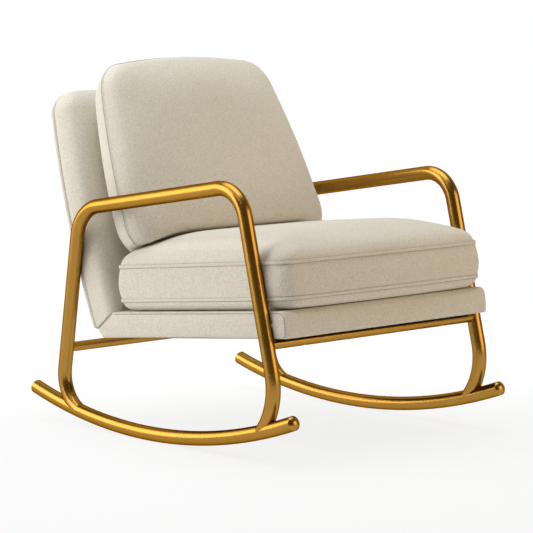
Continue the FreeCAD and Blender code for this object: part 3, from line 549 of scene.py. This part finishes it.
def dust_sheet():
    """The cloth under the base: a flat grid that sags a little in the middle, given its thickness
    outwards."""
    x = np.linspace(-DUST_HALF_WIDTH, DUST_HALF_WIDTH, DUST_STEPS)[None, :]
    along = np.linspace(DUST_REAR, DUST_FRONT, DUST_STEPS)[:, None]
    share = np.clip((along - DUST_SAG_REAR) / (DUST_SAG_FRONT - DUST_SAG_REAR), 0, 1)
    sag = 2.0 * MM * np.sin(math.pi * share) ** 2 * np.cos(0.5 * math.pi * x / DUST_HALF_WIDTH)
    points = on_seat(x, along, 0.1 * MM - sag).reshape(-1, 3)
    sheet = new_mesh_object("dust_cloth", points, grid_faces(DUST_STEPS, DUST_STEPS, False).tolist())
    wall = sheet.modifiers.new("thickness", "SOLIDIFY")
    wall.thickness = 0.5 * MM
    wall.offset = 1.0
    apply_modifiers(sheet)
    return sheet


def backdrop(name):
    """Floor and backdrop in one sheet that faces the camera: flat, then a quarter round, then upright."""
    turn = np.linspace(0, math.pi / 2, 24)
    radius = 2.0
    depth = np.concatenate([[-9.0, 0.0], 4.0 + radius * np.sin(turn), [4.0 + radius]])
    height = np.concatenate([[0.0, 0.0], radius * (1 - np.cos(turn)), [9.0]])
    beside = np.array([AHEAD[1], -AHEAD[0], 0.0])
    width = np.linspace(-12, 12, 9)
    points = depth[:, None, None] * AHEAD + width[None, :, None] * beside
    points[..., 2] = height[:, None]
    faces = grid_faces(len(depth), len(width), False)[:, ::-1]
    return new_mesh_object(name, points.reshape(-1, 3), faces.tolist())


def panel_loops(out, inset):
    """Outlines of the back panel at a distance out of its rear seam and an inset. The foot lies on the
    mitre, and behind the seam it rises with the inset."""
    slope = (BASE_HALF_WIDTH - PANEL_TOP_HALF_WIDTH) / PANEL_HEIGHT
    foot = np.where(out > 0, CORNER_UP * out / PANEL_DEPTH, np.maximum(inset, 0) - 0.6 * out)
    foot_half = BASE_HALF_WIDTH - slope * foot - inset
    top = np.full_like(out, PANEL_HEIGHT) - inset
    top_half = PANEL_TOP_HALF_WIDTH - inset
    corners = np.stack([np.stack([-foot_half, foot], -1), np.stack([foot_half, foot], -1),
                        np.stack([top_half, top], -1), np.stack([-top_half, top], -1)], axis=1)
    upper = np.maximum(PANEL_CORNER - inset, 5 * MM)
    lower = np.full_like(out, 4 * MM)
    radii = np.stack([lower, lower, upper, upper], axis=1)
    bows = np.tile(np.array([0.0, PANEL_SIDE_BOW, PANEL_TOP_BOW, PANEL_SIDE_BOW]), (len(out), 1))
    loops = rounded_loops(corners, radii, bows, side_steps=48)
    return on_back(loops[..., 0], loops[..., 1], out[:, None])


def panel_skin():
    """Loops of the back panel: straight sides from the rear seam, a quarter round, and a flat face. The
    quarter round is smaller on the sides than on top, and towards the foot it gets smaller still, so that
    the panel's side meets the base's side on the mitre."""
    t = np.linspace(0, math.pi / 2, 22)
    flat = np.linspace(0, PANEL_DEPTH - PANEL_FRONT_ROUND, 6)
    out = np.concatenate([flat[:-1], PANEL_DEPTH - PANEL_FRONT_ROUND * (1 - np.sin(t))])
    inset = np.concatenate([1.2 * MM * np.exp(-flat[:-1] / (3 * MM)), PANEL_FRONT_ROUND * (1 - np.cos(t))])
    x, along, _ = back_coordinates(panel_loops(out, inset))
    past = np.clip(out - PANEL_DEPTH + PANEL_FOOT_ROUND, 0, PANEL_FOOT_ROUND)
    foot_inset = PANEL_FOOT_ROUND - np.sqrt(PANEL_FOOT_ROUND ** 2 - past ** 2)
    share = np.clip((along - CORNER_UP) / PANEL_FOOT_REACH, 0, 1)
    share = PANEL_SIDE_SHARE * share * share * (3 - 2 * share)
    half = BASE_HALF_WIDTH - (BASE_HALF_WIDTH - PANEL_TOP_HALF_WIDTH) * along / PANEL_HEIGHT
    eased = foot_inset[:, None] + (inset - foot_inset)[:, None] * share
    return on_back(x * (half - eased) / (half - inset[:, None]), along, out[:, None])


def rear_cover_skin():
    """Loops of the padded rear cover: from the rear seam a side that swells out, a round edge and a domed
    back."""
    depth = np.array([0.4, 2.0, 4.0, 6.5, 9.0, 11.0, 12.2, 12.8, 13.0]) * MM
    inset = np.array([1.4, -0.6, -1.7, -2.0, -1.4, 0.6, 5.0, 24.0, 70.0]) * MM
    return panel_loops(-depth, inset)


# Finishes

def new_material(name):
    """A material with a Principled shader, and a function that adds a node with its settings and
    inputs."""
    material = bpy.data.materials.new(name)
    material.use_nodes = True
    tree = material.node_tree
    shader = tree.nodes["Principled BSDF"]

    def add(kind, settings=(), **inputs):
        made = tree.nodes.new(kind)
        for key, value in settings:
            setattr(made, key, value)
        for key, value in inputs.items():
            numbered = key.startswith("i")
            socket = made.inputs[int(key[1:]) if numbered else key.replace("_", " ")]
            if isinstance(value, bpy.types.NodeSocket):
                tree.links.new(value, socket)
            else:
                socket.default_value = value
        return made

    return material, shader, add, tree.links.new


def scaled_noise(add, place, scale, detail):
    """Noise read on Object coordinates stretched by a scale for each axis, in cells per metre."""
    stretched = add("ShaderNodeMapping", Vector=place, Scale=scale)
    return add("ShaderNodeTexNoise", Vector=stretched.outputs[0], Scale=1.0, Detail=detail).outputs["Fac"]


def tinted(colour, share):
    return [min(1.0, part * share) for part in colour[:3]] + [1.0]


def linen_finish(name, colour, pitch, contrast):
    """Linen: slubbed threads run across and along each face. Each thread set is noise that is fine along
    one axis and long along the other two, and a face shows the two sets that lie in it."""
    material, shader, add, link = new_material(name)
    place = add("ShaderNodeTexCoord").outputs["Object"]
    normal = add("ShaderNodeNewGeometry").outputs["Normal"]
    facing = add("ShaderNodeVectorMath", [("operation", "ABSOLUTE")], i0=normal)
    apart = add("ShaderNodeSeparateXYZ", Vector=facing.outputs[0])
    fine = 1 / pitch
    long = 0.45 / pitch

    def combined(operation, a, b):
        return add("ShaderNodeMath", [("operation", operation)], i0=a, i1=b).outputs[0]

    total = 0.0
    weight_total = 0.0
    for axis in range(3):
        scale = [long] * 3
        scale[axis] = fine
        weight = combined("SUBTRACT", 1.0, apart.outputs[axis])
        part = combined("MULTIPLY", scaled_noise(add, place, scale, 1.0), weight)
        total = combined("ADD", total, part)
        weight_total = combined("ADD", weight_total, weight)
    weave = combined("DIVIDE", total, weight_total)
    mottle = scaled_noise(add, place, [38.0] * 3, 3.0)
    tone = add("ShaderNodeMapRange", i0=weave, i1=0.36, i2=0.64, i3=0.0, i4=1.0).outputs[0]
    threads = add("ShaderNodeMix", [("data_type", "RGBA")], i0=tone, i6=tinted(colour, 1 - contrast),
                  i7=tinted(colour, 1 + 0.5 * contrast)).outputs[2]
    worn = add("ShaderNodeMapRange", i0=mottle, i1=0.3, i2=0.7, i3=0.985, i4=1.012).outputs[0]
    cloth = add("ShaderNodeVectorMath", [("operation", "SCALE")], i0=threads, i3=worn).outputs[0]
    link(cloth, shader.inputs["Base Color"])
    bump = add("ShaderNodeBump", Strength=0.8, Distance=0.5 * MM, Height=weave).outputs[0]
    link(bump, shader.inputs["Normal"])
    shader.inputs["Roughness"].default_value = 0.93
    shader.inputs["Specular IOR Level"].default_value = 0.25
    shader.inputs["Sheen Weight"].default_value = 0.12
    shader.inputs["Sheen Roughness"].default_value = 0.5
    return material


def gold_finish(name, colour, roughness):
    """Satin gold lacquer on steel: a metal whose tone and gloss vary a little in soft clouds."""
    material, shader, add, link = new_material(name)
    place = add("ShaderNodeTexCoord").outputs["Object"]
    clouds = scaled_noise(add, place, [14.0] * 3, 1.0)
    gloss = add("ShaderNodeMapRange", i0=clouds, i1=0.3, i2=0.7, i3=roughness - 0.02, i4=roughness + 0.02)
    link(gloss.outputs[0], shader.inputs["Roughness"])
    tone = add("ShaderNodeMapRange", i0=clouds, i1=0.3, i2=0.7, i3=0.0, i4=1.0).outputs[0]
    lacquer = add("ShaderNodeMix", [("data_type", "RGBA")], i0=tone, i6=tinted(colour, 0.97),
                  i7=tinted(colour, 1.03)).outputs[2]
    link(lacquer, shader.inputs["Base Color"])
    shader.inputs["Metallic"].default_value = 1.0
    shader.inputs["Specular Tint"].default_value = tinted(colour, 0.5)
    return material


def streaked_finish(name, dark, light, scale, roughness, metallic=0.0):
    """A plain stock: streaks of two tones from noise stretched along one axis."""
    material, shader, add, link = new_material(name)
    place = add("ShaderNodeTexCoord").outputs["Object"]
    streaks = scaled_noise(add, place, scale, 4.0)
    tone = add("ShaderNodeMapRange", i0=streaks, i1=0.3, i2=0.7, i3=0.0, i4=1.0).outputs[0]
    colour = add("ShaderNodeMix", [("data_type", "RGBA")], i0=tone, i6=tinted(dark, 1.0),
                 i7=tinted(light, 1.0))
    link(colour.outputs[2], shader.inputs["Base Color"])
    bump = add("ShaderNodeBump", Strength=0.2, Distance=0.3 * MM, Height=streaks).outputs[0]
    link(bump, shader.inputs["Normal"])
    shader.inputs["Roughness"].default_value = roughness
    shader.inputs["Metallic"].default_value = metallic
    return material


def finish_for(name, make, *values):
    """The finish of this name, made from its values when it is first asked for."""
    return bpy.data.materials.get(name) or make(name, *values)


def cloth_for(context):
    look = context.scene.chair_finish
    return finish_for("cream_linen", linen_finish, look.cloth_colour, look.weave_pitch, look.weave_contrast)


def painted_seam_for(context):
    """The same linen, darkened as painted shade for the sewn folds and seam lines."""
    look = context.scene.chair_finish
    shaded = tinted(look.cloth_colour, look.painted_fold_shade)
    return finish_for("seam_fold", linen_finish, shaded, look.weave_pitch, look.weave_contrast)


def gold_for(context):
    look = context.scene.chair_finish
    return finish_for("satin_gold", gold_finish, look.gold_colour, look.gold_roughness)


def dress(piece, material):
    piece.data.materials.clear()
    piece.data.materials.append(material)


def dress_nodes(words, material):
    """Gives a finish to every solid whose name holds one of the words."""
    for name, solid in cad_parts.items():
        if any(word in name for word in words):
            for part in solid.material_slots:
                part.material = material


def settle(piece, body, material):
    """A piece that rides on a body, with its finish."""
    dress(piece, material)
    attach(piece, body)


# Sizes and colours that a user may change

class ChairFinish(bpy.types.PropertyGroup):
    cloth_colour: bpy.props.FloatVectorProperty(
        name="Cloth", description="Colour of the linen", subtype="COLOR", size=3, min=0, max=1,
        default=(0.70, 0.65, 0.56))
    weave_pitch: bpy.props.FloatProperty(
        name="Thread pitch", description="Distance between the linen's threads", unit="LENGTH",
        default=1.3 * MM)
    weave_contrast: bpy.props.FloatProperty(
        name="Thread contrast", description="How much the threads differ in tone", subtype="FACTOR",
        min=0, max=0.5, default=0.22)
    # Painted shade: the share of the linen's tone that the sewn folds and seam lines are painted in
    painted_fold_shade: bpy.props.FloatProperty(
        name="Seam shade", description="Tone of the sewn folds, as a share of the linen's", subtype="FACTOR",
        min=0, max=1, default=0.55)
    gold_colour: bpy.props.FloatVectorProperty(
        name="Gold", description="Colour of the lacquered steel", subtype="COLOR", size=3, min=0, max=1,
        default=(0.42, 0.225, 0.045))
    gold_roughness: bpy.props.FloatProperty(
        name="Gold roughness", description="How satin the lacquer is", subtype="FACTOR", min=0, max=1,
        default=0.27)


class ChairCushions(bpy.types.PropertyGroup):
    seat_crown: bpy.props.FloatProperty(
        name="Seat crown", description="Height of the seat cushion's crown before it is filled",
        unit="LENGTH", default=58 * MM)
    back_crown: bpy.props.FloatProperty(
        name="Back crown", description="Depth of the back cushion's crown before it is filled", unit="LENGTH",
        default=75 * MM)
    pressure: bpy.props.FloatProperty(
        name="Filling", description="Pressure of the filling on the cover", min=0, default=4.0)
    most_swell: bpy.props.FloatProperty(
        name="Most swell", description="Furthest that the filling may move the cover", unit="LENGTH",
        default=12 * MM)
    skin: bpy.props.FloatProperty(
        name="Skin", description="Spacing of the cover's points before it is refined", unit="LENGTH",
        default=6.5 * MM)
    band_width: bpy.props.FloatProperty(
        name="Seam band", description="Width of the seat cushion's sewn seams", unit="LENGTH",
        default=7.5 * MM)
    piping_width: bpy.props.FloatProperty(
        name="Piping", description="Width of the thin sewn edges", unit="LENGTH", default=2.2 * MM)


class ChairStudio(bpy.types.PropertyGroup):
    floor_colour: bpy.props.FloatVectorProperty(
        name="Floor", description="Colour of the floor and backdrop", subtype="COLOR", size=3, min=0, max=1,
        default=(0.85, 0.85, 0.85))
    key_power: bpy.props.FloatProperty(
        name="Key", description="Power of the light wall on the sitter's right", unit="POWER", default=152.0)
    fill_power: bpy.props.FloatProperty(
        name="Fill", description="Power of the warm light wall in front", unit="POWER", default=57.0)
    top_power: bpy.props.FloatProperty(
        name="Top", description="Power of the light overhead", unit="POWER", default=89.0)
    strip_power: bpy.props.FloatProperty(
        name="Strip", description="Power of the narrow light that draws a line on the tubes", unit="POWER",
        default=14.0)
    air_strength: bpy.props.FloatProperty(
        name="Air", description="Strength of the even light from all round", min=0, default=0.1)


# Pieces

class CHAIR_OT_gold_frame(bpy.types.Operator):
    """Finish the tubes, runners, caps and rails in satin gold"""
    bl_idname = "chair.gold_frame"
    bl_label = "Gold frame"

    def execute(self, context):
        dress_nodes(("arm_leg_tube", "runner", "cross_rail"), gold_for(context))
        return {"FINISHED"}


class CHAIR_OT_inner_frame(bpy.types.Operator):
    """Finish the wooden frame, the webbing and the fixings inside the shell"""
    bl_idname = "chair.inner_frame"
    bl_label = "Inner frame"

    def execute(self, context):
        wood = streaked_finish("sawn_wood", (0.42, 0.27, 0.14), (0.62, 0.44, 0.26), [14.0, 160.0, 160.0], 0.7)
        webbing = streaked_finish("elastic_webbing", (0.03, 0.026, 0.024), (0.09, 0.08, 0.07),
                                  [420.0, 420.0, 420.0], 0.9)
        zinc = streaked_finish("zinc_plate", (0.42, 0.42, 0.43), (0.62, 0.62, 0.62), [260.0, 60.0, 260.0],
                               0.38, 1.0)
        dress_nodes(("board", "block", "back_top_rail", "back_lower_rail", "_post"), wood)
        dress_nodes(("webbing",), webbing)
        dress_nodes(("bolt", "tee_nut"), zinc)
        dress_nodes(("bracket",), gold_for(context))
        return {"FINISHED"}


class CHAIR_OT_seat_base(bpy.types.Operator):
    """Make the upholstered seat base with its sewn edges"""
    bl_idname = "chair.seat_base"
    bl_label = "Seat base"

    def execute(self, context):
        piping = context.scene.chair_cushions.piping_width
        cloth = cloth_for(context)
        base = closed_form("seat_base", clear_of_legs(base_skin(), COVER_LEG_GAP, COVER_LEG_EASE, False))
        settle(base, "chair", cloth)
        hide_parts("seat_base_cover", "seat_base_padding")
        for name, side in (("right", -1), ("left", 1)):
            loop = base_edge(side)
            inner = loop * np.array([0.9, 1, 1])
            middle = loop.mean(0)
            outward = unit(loop - inner) + unit((loop - middle) * np.array([0, 1, 1]))
            path = clear_of_legs(loop, 0.9 * MM, 1.5 * MM, False)
            edge = banded("seat_base_" + name + "_edge_seam", path, outward, piping / 2, 0.5 * MM, False)
            # The edge seam is painted darker than the linen, as painted shade in its fold.
            settle(edge, "chair", painted_seam_for(context))
            share = np.linspace(0.04, 1, MITRE_STEPS)
            mitre = on_seat(side * (BASE_HALF_WIDTH - 0.4 * MM - 1.2 * MM * share ** 3),
                            -BASE_HEEL_BACK + (CORNER_ALONG + BASE_HEEL_BACK) * share,
                            BASE_HEEL_HEIGHT + (BASE_THICKNESS - BASE_HEEL_HEIGHT - 2 * MM) * share)
            outward = np.tile(ACROSS * side, (MITRE_STEPS, 1))
            # A band of darkened linen along the mitre is painted shade, standing in for the shadow of the gap
            # between base and panel.
            fold = banded("mitre_" + name + "_seam", mitre, outward, piping / 2, 0.6 * MM, False)
            settle(fold, "chair", painted_seam_for(context))
        return {"FINISHED"}


class CHAIR_OT_back_panel(bpy.types.Operator):
    """Make the upholstered back panel, its rear cover and the seam between them"""
    bl_idname = "chair.back_panel"
    bl_label = "Back panel"

    def execute(self, context):
        piping = context.scene.chair_cushions.piping_width
        cloth = cloth_for(context)
        panel = closed_form("back_panel", clear_of_legs(panel_skin(), COVER_LEG_GAP, COVER_LEG_EASE, False))
        settle(panel, "chair", cloth)
        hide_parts("back_panel_cover", "back_panel_padding")
        rear = closed_form("back_rear", clear_of_legs(rear_cover_skin(), COVER_LEG_GAP, COVER_LEG_EASE, False))
        settle(rear, "chair", cloth)
        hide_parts("back_rear_cover")
        level = np.array([0.2 * MM])
        path = panel_loops(level, np.array([0.8 * MM]))[0]
        outward = path - panel_loops(level, np.array([12 * MM]))[0]
        above_foot = slice(len(path) // 4, None)
        seam = banded("back_panel_seam", clear_of_legs(path, 1.0 * MM, 1.5 * MM, False)[above_foot],
                      outward[above_foot], piping / 2, 0.7 * MM, False)
        # The seam is painted darker than the linen, as painted shade in its fold.
        settle(seam, "chair", painted_seam_for(context))
        return {"FINISHED"}


class CHAIR_OT_dust_cloth(bpy.types.Operator):
    """Make the thin cloth under the seat base"""
    bl_idname = "chair.dust_cloth"
    bl_label = "Dust cloth"

    def execute(self, context):
        cloth = streaked_finish("dust_cloth", (0.012, 0.012, 0.013), (0.03, 0.03, 0.032), [600.0] * 3, 0.95)
        sheet = dust_sheet()
        settle(sheet, "chair", cloth)
        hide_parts("seat_dust_cover")
        return {"FINISHED"}


class CHAIR_OT_seat_cushion(bpy.types.Operator):
    """Make the boxed seat cushion and its two sewn bands"""
    bl_idname = "chair.seat_cushion"
    bl_label = "Seat cushion"

    def execute(self, context):
        sizes = context.scene.chair_cushions
        cloth = cloth_for(context)
        bottom_seam = SEAT_CUSHION_START + SEAT_CUSHION_UNDERSIDE
        top_seam = bottom_seam + SEAT_CUSHION_BOXING

        def hold(points):
            _, _, out = seat_coordinates(points)
            seams = held_near(out, bottom_seam, 7 * MM) + held_near(out, top_seam, 7 * MM)
            return np.clip(seams + held_near(out, SEAT_CUSHION_START, 5 * MM), 0, 1)

        cushion = closed_form("seat_cushion", seat_cushion_skin(sizes.seat_crown))
        swell(cushion, sizes.skin, sizes.pressure, sizes.most_swell, hold)
        _, _, out = seat_coordinates(read_points(cushion.data))
        apart = np.minimum(np.abs(out - top_seam), np.abs(out - bottom_seam))
        points = clear_of_legs(creased(cushion.data, apart, 1.2 * MM, 7 * MM), 0.9 * MM, 1.6 * MM, True)
        x, along, out = seat_coordinates(points)
        write_points(cushion.data, on_seat(x, along, np.maximum(out, SEAT_CUSHION_START)))
        settle(cushion, "seat_cushion", cloth)
        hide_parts("seat_cushion_cover", "seat_cushion_filling")
        for name, level in (("top", top_seam), ("bottom", bottom_seam)):
            path, outward = seat_cushion_seam(level)
            prefix = "seat_cushion_" + name + "_"
            band = banded(prefix + "welt", path, outward, sizes.band_width / 2, 1.8 * MM, True)
            settle(band, "seat_cushion", cloth)
            # Thin bands of darkened linen along the welt's two edges are painted shade beside the welt.
            for edge, offset, half in (("upper", 0.5, 0.55 * MM), ("lower", -0.5, 0.95 * MM)):
                path, outward = seat_cushion_seam(level + offset * sizes.band_width)
                fold = banded(prefix + edge + "_fold", path, outward, half, 0.6 * MM, True)
                settle(fold, "seat_cushion", painted_seam_for(context))
        return {"FINISHED"}


class CHAIR_OT_back_cushion(bpy.types.Operator):
    """Make the crowned back cushion, resting on the seat cushion, and its piped seam"""
    bl_idname = "chair.back_cushion"
    bl_label = "Back cushion"

    def execute(self, context):
        sizes = context.scene.chair_cushions
        cloth = cloth_for(context)
        seat = top_surface(read_points(bpy.data.objects["seat_cushion"].data), 9 * MM)

        def hold(points):
            _, _, out = back_coordinates(points)
            held = held_near(out, BACK_CUSHION_SEAM, 6 * MM) + held_near(out, BACK_CUSHION_REAR, 6 * MM)
            return np.clip(held, 0, 1)

        grid = back_cushion_skin(sizes.back_crown)
        lifted = lift_onto(grid.reshape(-1, 3), seat, 1 * MM).reshape(grid.shape)
        cushion = closed_form("back_cushion", lifted)
        swell(cushion, sizes.skin, sizes.pressure, sizes.most_swell, hold)
        _, _, out = back_coordinates(read_points(cushion.data))
        points = lift_onto(creased(cushion.data, out - BACK_CUSHION_SEAM, 1.8 * MM, 5 * MM), seat, 1 * MM)
        x, along, out = back_coordinates(points)
        write_points(cushion.data, on_back(x, along, np.maximum(out, BACK_CUSHION_REAR)))
        settle(cushion, "back_cushion", cloth)
        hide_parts("back_cushion_cover", "back_cushion_filling")
        level = np.array([BACK_CUSHION_SEAM])
        path = back_cushion_loops(level, np.array([0.0]))[0]
        outward = path - back_cushion_loops(level, np.array([20 * MM]))[0]
        path = lift_onto(path, seat, 1.5 * MM)
        seam = banded("back_cushion_seam", path, outward, sizes.piping_width / 2, 0.7 * MM, True)
        # The piping is painted darker than the linen, as painted shade in the seam.
        settle(seam, "back_cushion", painted_seam_for(context))
        return {"FINISHED"}


# Studio

def studio_paper(name, colour):
    """White paper. What is seen of it, directly or in the metal, is mostly an even white that pales from
    the floor up to the backdrop; the rest takes the object's shadow."""
    material, shader, add, link = new_material(name)
    rays = add("ShaderNodeLightPath").outputs
    seen = rays["Is Camera Ray"]
    for kind in ("Is Glossy Ray", "Is Transmission Ray"):
        seen = add("ShaderNodeMath", [("operation", "MAXIMUM")], i0=seen, i1=rays[kind]).outputs[0]
    place = add("ShaderNodeTexCoord").outputs["Object"]
    behind = add("ShaderNodeVectorMath", [("operation", "DOT_PRODUCT")], i0=place, i1=AHEAD.tolist())
    white = add("ShaderNodeMapRange", [("interpolation_type", "SMOOTHSTEP")], i0=behind.outputs["Value"],
                i1=-0.6, i2=1.8, i3=0.82, i4=0.95).outputs[0]
    glow = add("ShaderNodeMath", [("operation", "MULTIPLY")], i0=seen, i1=white).outputs[0]
    shade = add("ShaderNodeMapRange", i0=seen, i1=0.0, i2=1.0, i3=1.0, i4=0.16).outputs[0]
    paper = add("ShaderNodeVectorMath", [("operation", "SCALE")], i0=list(colour), i3=shade).outputs[0]
    link(paper, shader.inputs["Base Color"])
    link(glow, shader.inputs["Emission Strength"])
    shader.inputs["Emission Color"].default_value = (1, 1, 1, 1)
    shader.inputs["Roughness"].default_value = 1.0
    shader.inputs["Specular IOR Level"].default_value = 0.0
    return material


def soft_light(name, place, aim, size, power, colour):
    """A soft box of a width and height at a place, turned to its aim."""
    lamp = bpy.data.lights.new(name, "AREA")
    lamp.shape = "RECTANGLE"
    lamp.size, lamp.size_y = size
    lamp.energy = power
    lamp.color = colour
    light = bpy.data.objects.new(name, lamp)
    light.location = place
    light.rotation_euler = (Vector(aim) - Vector(place)).to_track_quat("-Z", "Y").to_euler()
    bpy.context.collection.objects.link(light)


class CHAIR_OT_studio(bpy.types.Operator):
    """Set up the floor, the soft lights and the camera"""
    bl_idname = "chair.studio"
    bl_label = "Studio"

    def execute(self, context):
        studio = context.scene.chair_studio
        floor = backdrop("studio_floor")
        dress(floor, studio_paper("studio_paper", studio.floor_colour))
        soft_light("key_wall", (-2.9, 2.7, 1.9), (0.0, 0.7, 1.1), (4.0, 3.2), studio.key_power, KEY_TINT)
        soft_light("fill_wall", (1.6, -3.6, 1.5), (0.6, 0.0, 0.7), (3.0, 2.4), studio.fill_power, FILL_TINT)
        soft_light("top_box", (0.0, 0.2, 3.5), (0.0, 0.0, 0.4), (3.0, 3.0), studio.top_power, TOP_TINT)
        soft_light("strip_box", (-2.5, 0.2, 3.2), (0.0, 0.0, 0.4), (4.0, 0.25), studio.strip_power,
                   STRIP_TINT)
        world = bpy.data.worlds.new("studio_air")
        world.use_nodes = True
        context.scene.world = world
        air = world.node_tree.nodes["Background"]
        air.inputs["Color"].default_value = AIR_TINT
        air.inputs["Strength"].default_value = studio.air_strength
        context.scene.view_settings.view_transform = "Standard"
        camera = bpy.data.objects.new("photo_camera", bpy.data.cameras.new("photo_camera"))
        camera.data.lens = CAMERA_LENS
        camera.data.shift_x, camera.data.shift_y = CAMERA_SHIFT
        camera.data.clip_end = 100.0
        look = (Vector(CAMERA_TARGET) - Vector(CAMERA_EYE)).to_track_quat("-Z", "Y")
        camera.location = CAMERA_EYE
        camera.rotation_euler = (look.to_matrix() @ Matrix.Rotation(CAMERA_ROLL, 3, "Z")).to_euler()
        context.collection.objects.link(camera)
        context.scene.camera = camera
        return {"FINISHED"}


class CHAIR_PT_pieces(bpy.types.Panel):
    """Lists the chair's pieces, sizes and colours"""
    bl_label = "Rocking chair"
    bl_idname = "CHAIR_PT_pieces"
    bl_space_type = "VIEW_3D"
    bl_region_type = "UI"
    bl_category = "Chair"

    def draw(self, context):
        for group in (context.scene.chair_finish, context.scene.chair_cushions, context.scene.chair_studio):
            box = self.layout.box()
            for name in group.bl_rna.properties.keys():
                if name not in ("rna_type", "name"):
                    box.prop(group, name)
        for operator in OPERATORS:
            self.layout.operator(operator.bl_idname)


OPERATORS = (CHAIR_OT_studio, CHAIR_OT_gold_frame, CHAIR_OT_inner_frame, CHAIR_OT_seat_base,
             CHAIR_OT_back_panel, CHAIR_OT_dust_cloth, CHAIR_OT_seat_cushion, CHAIR_OT_back_cushion)
GROUPS = (ChairFinish, ChairCushions, ChairStudio)
CLASSES = GROUPS + OPERATORS + (CHAIR_PT_pieces,)


def register():
    for item in CLASSES:
        bpy.utils.register_class(item)
    bpy.types.Scene.chair_finish = bpy.props.PointerProperty(type=ChairFinish)
    bpy.types.Scene.chair_cushions = bpy.props.PointerProperty(type=ChairCushions)
    bpy.types.Scene.chair_studio = bpy.props.PointerProperty(type=ChairStudio)


def unregister():
    del bpy.types.Scene.chair_studio
    del bpy.types.Scene.chair_cushions
    del bpy.types.Scene.chair_finish
    for item in reversed(CLASSES):
        bpy.utils.unregister_class(item)


def main():
    register()
    bpy.ops.chair.studio()
    bpy.ops.chair.gold_frame()
    bpy.ops.chair.inner_frame()
    bpy.ops.chair.seat_base()
    bpy.ops.chair.back_panel()
    bpy.ops.chair.dust_cloth()
    bpy.ops.chair.seat_cushion()
    bpy.ops.chair.back_cushion()


if __name__ == "__main__":
    main()
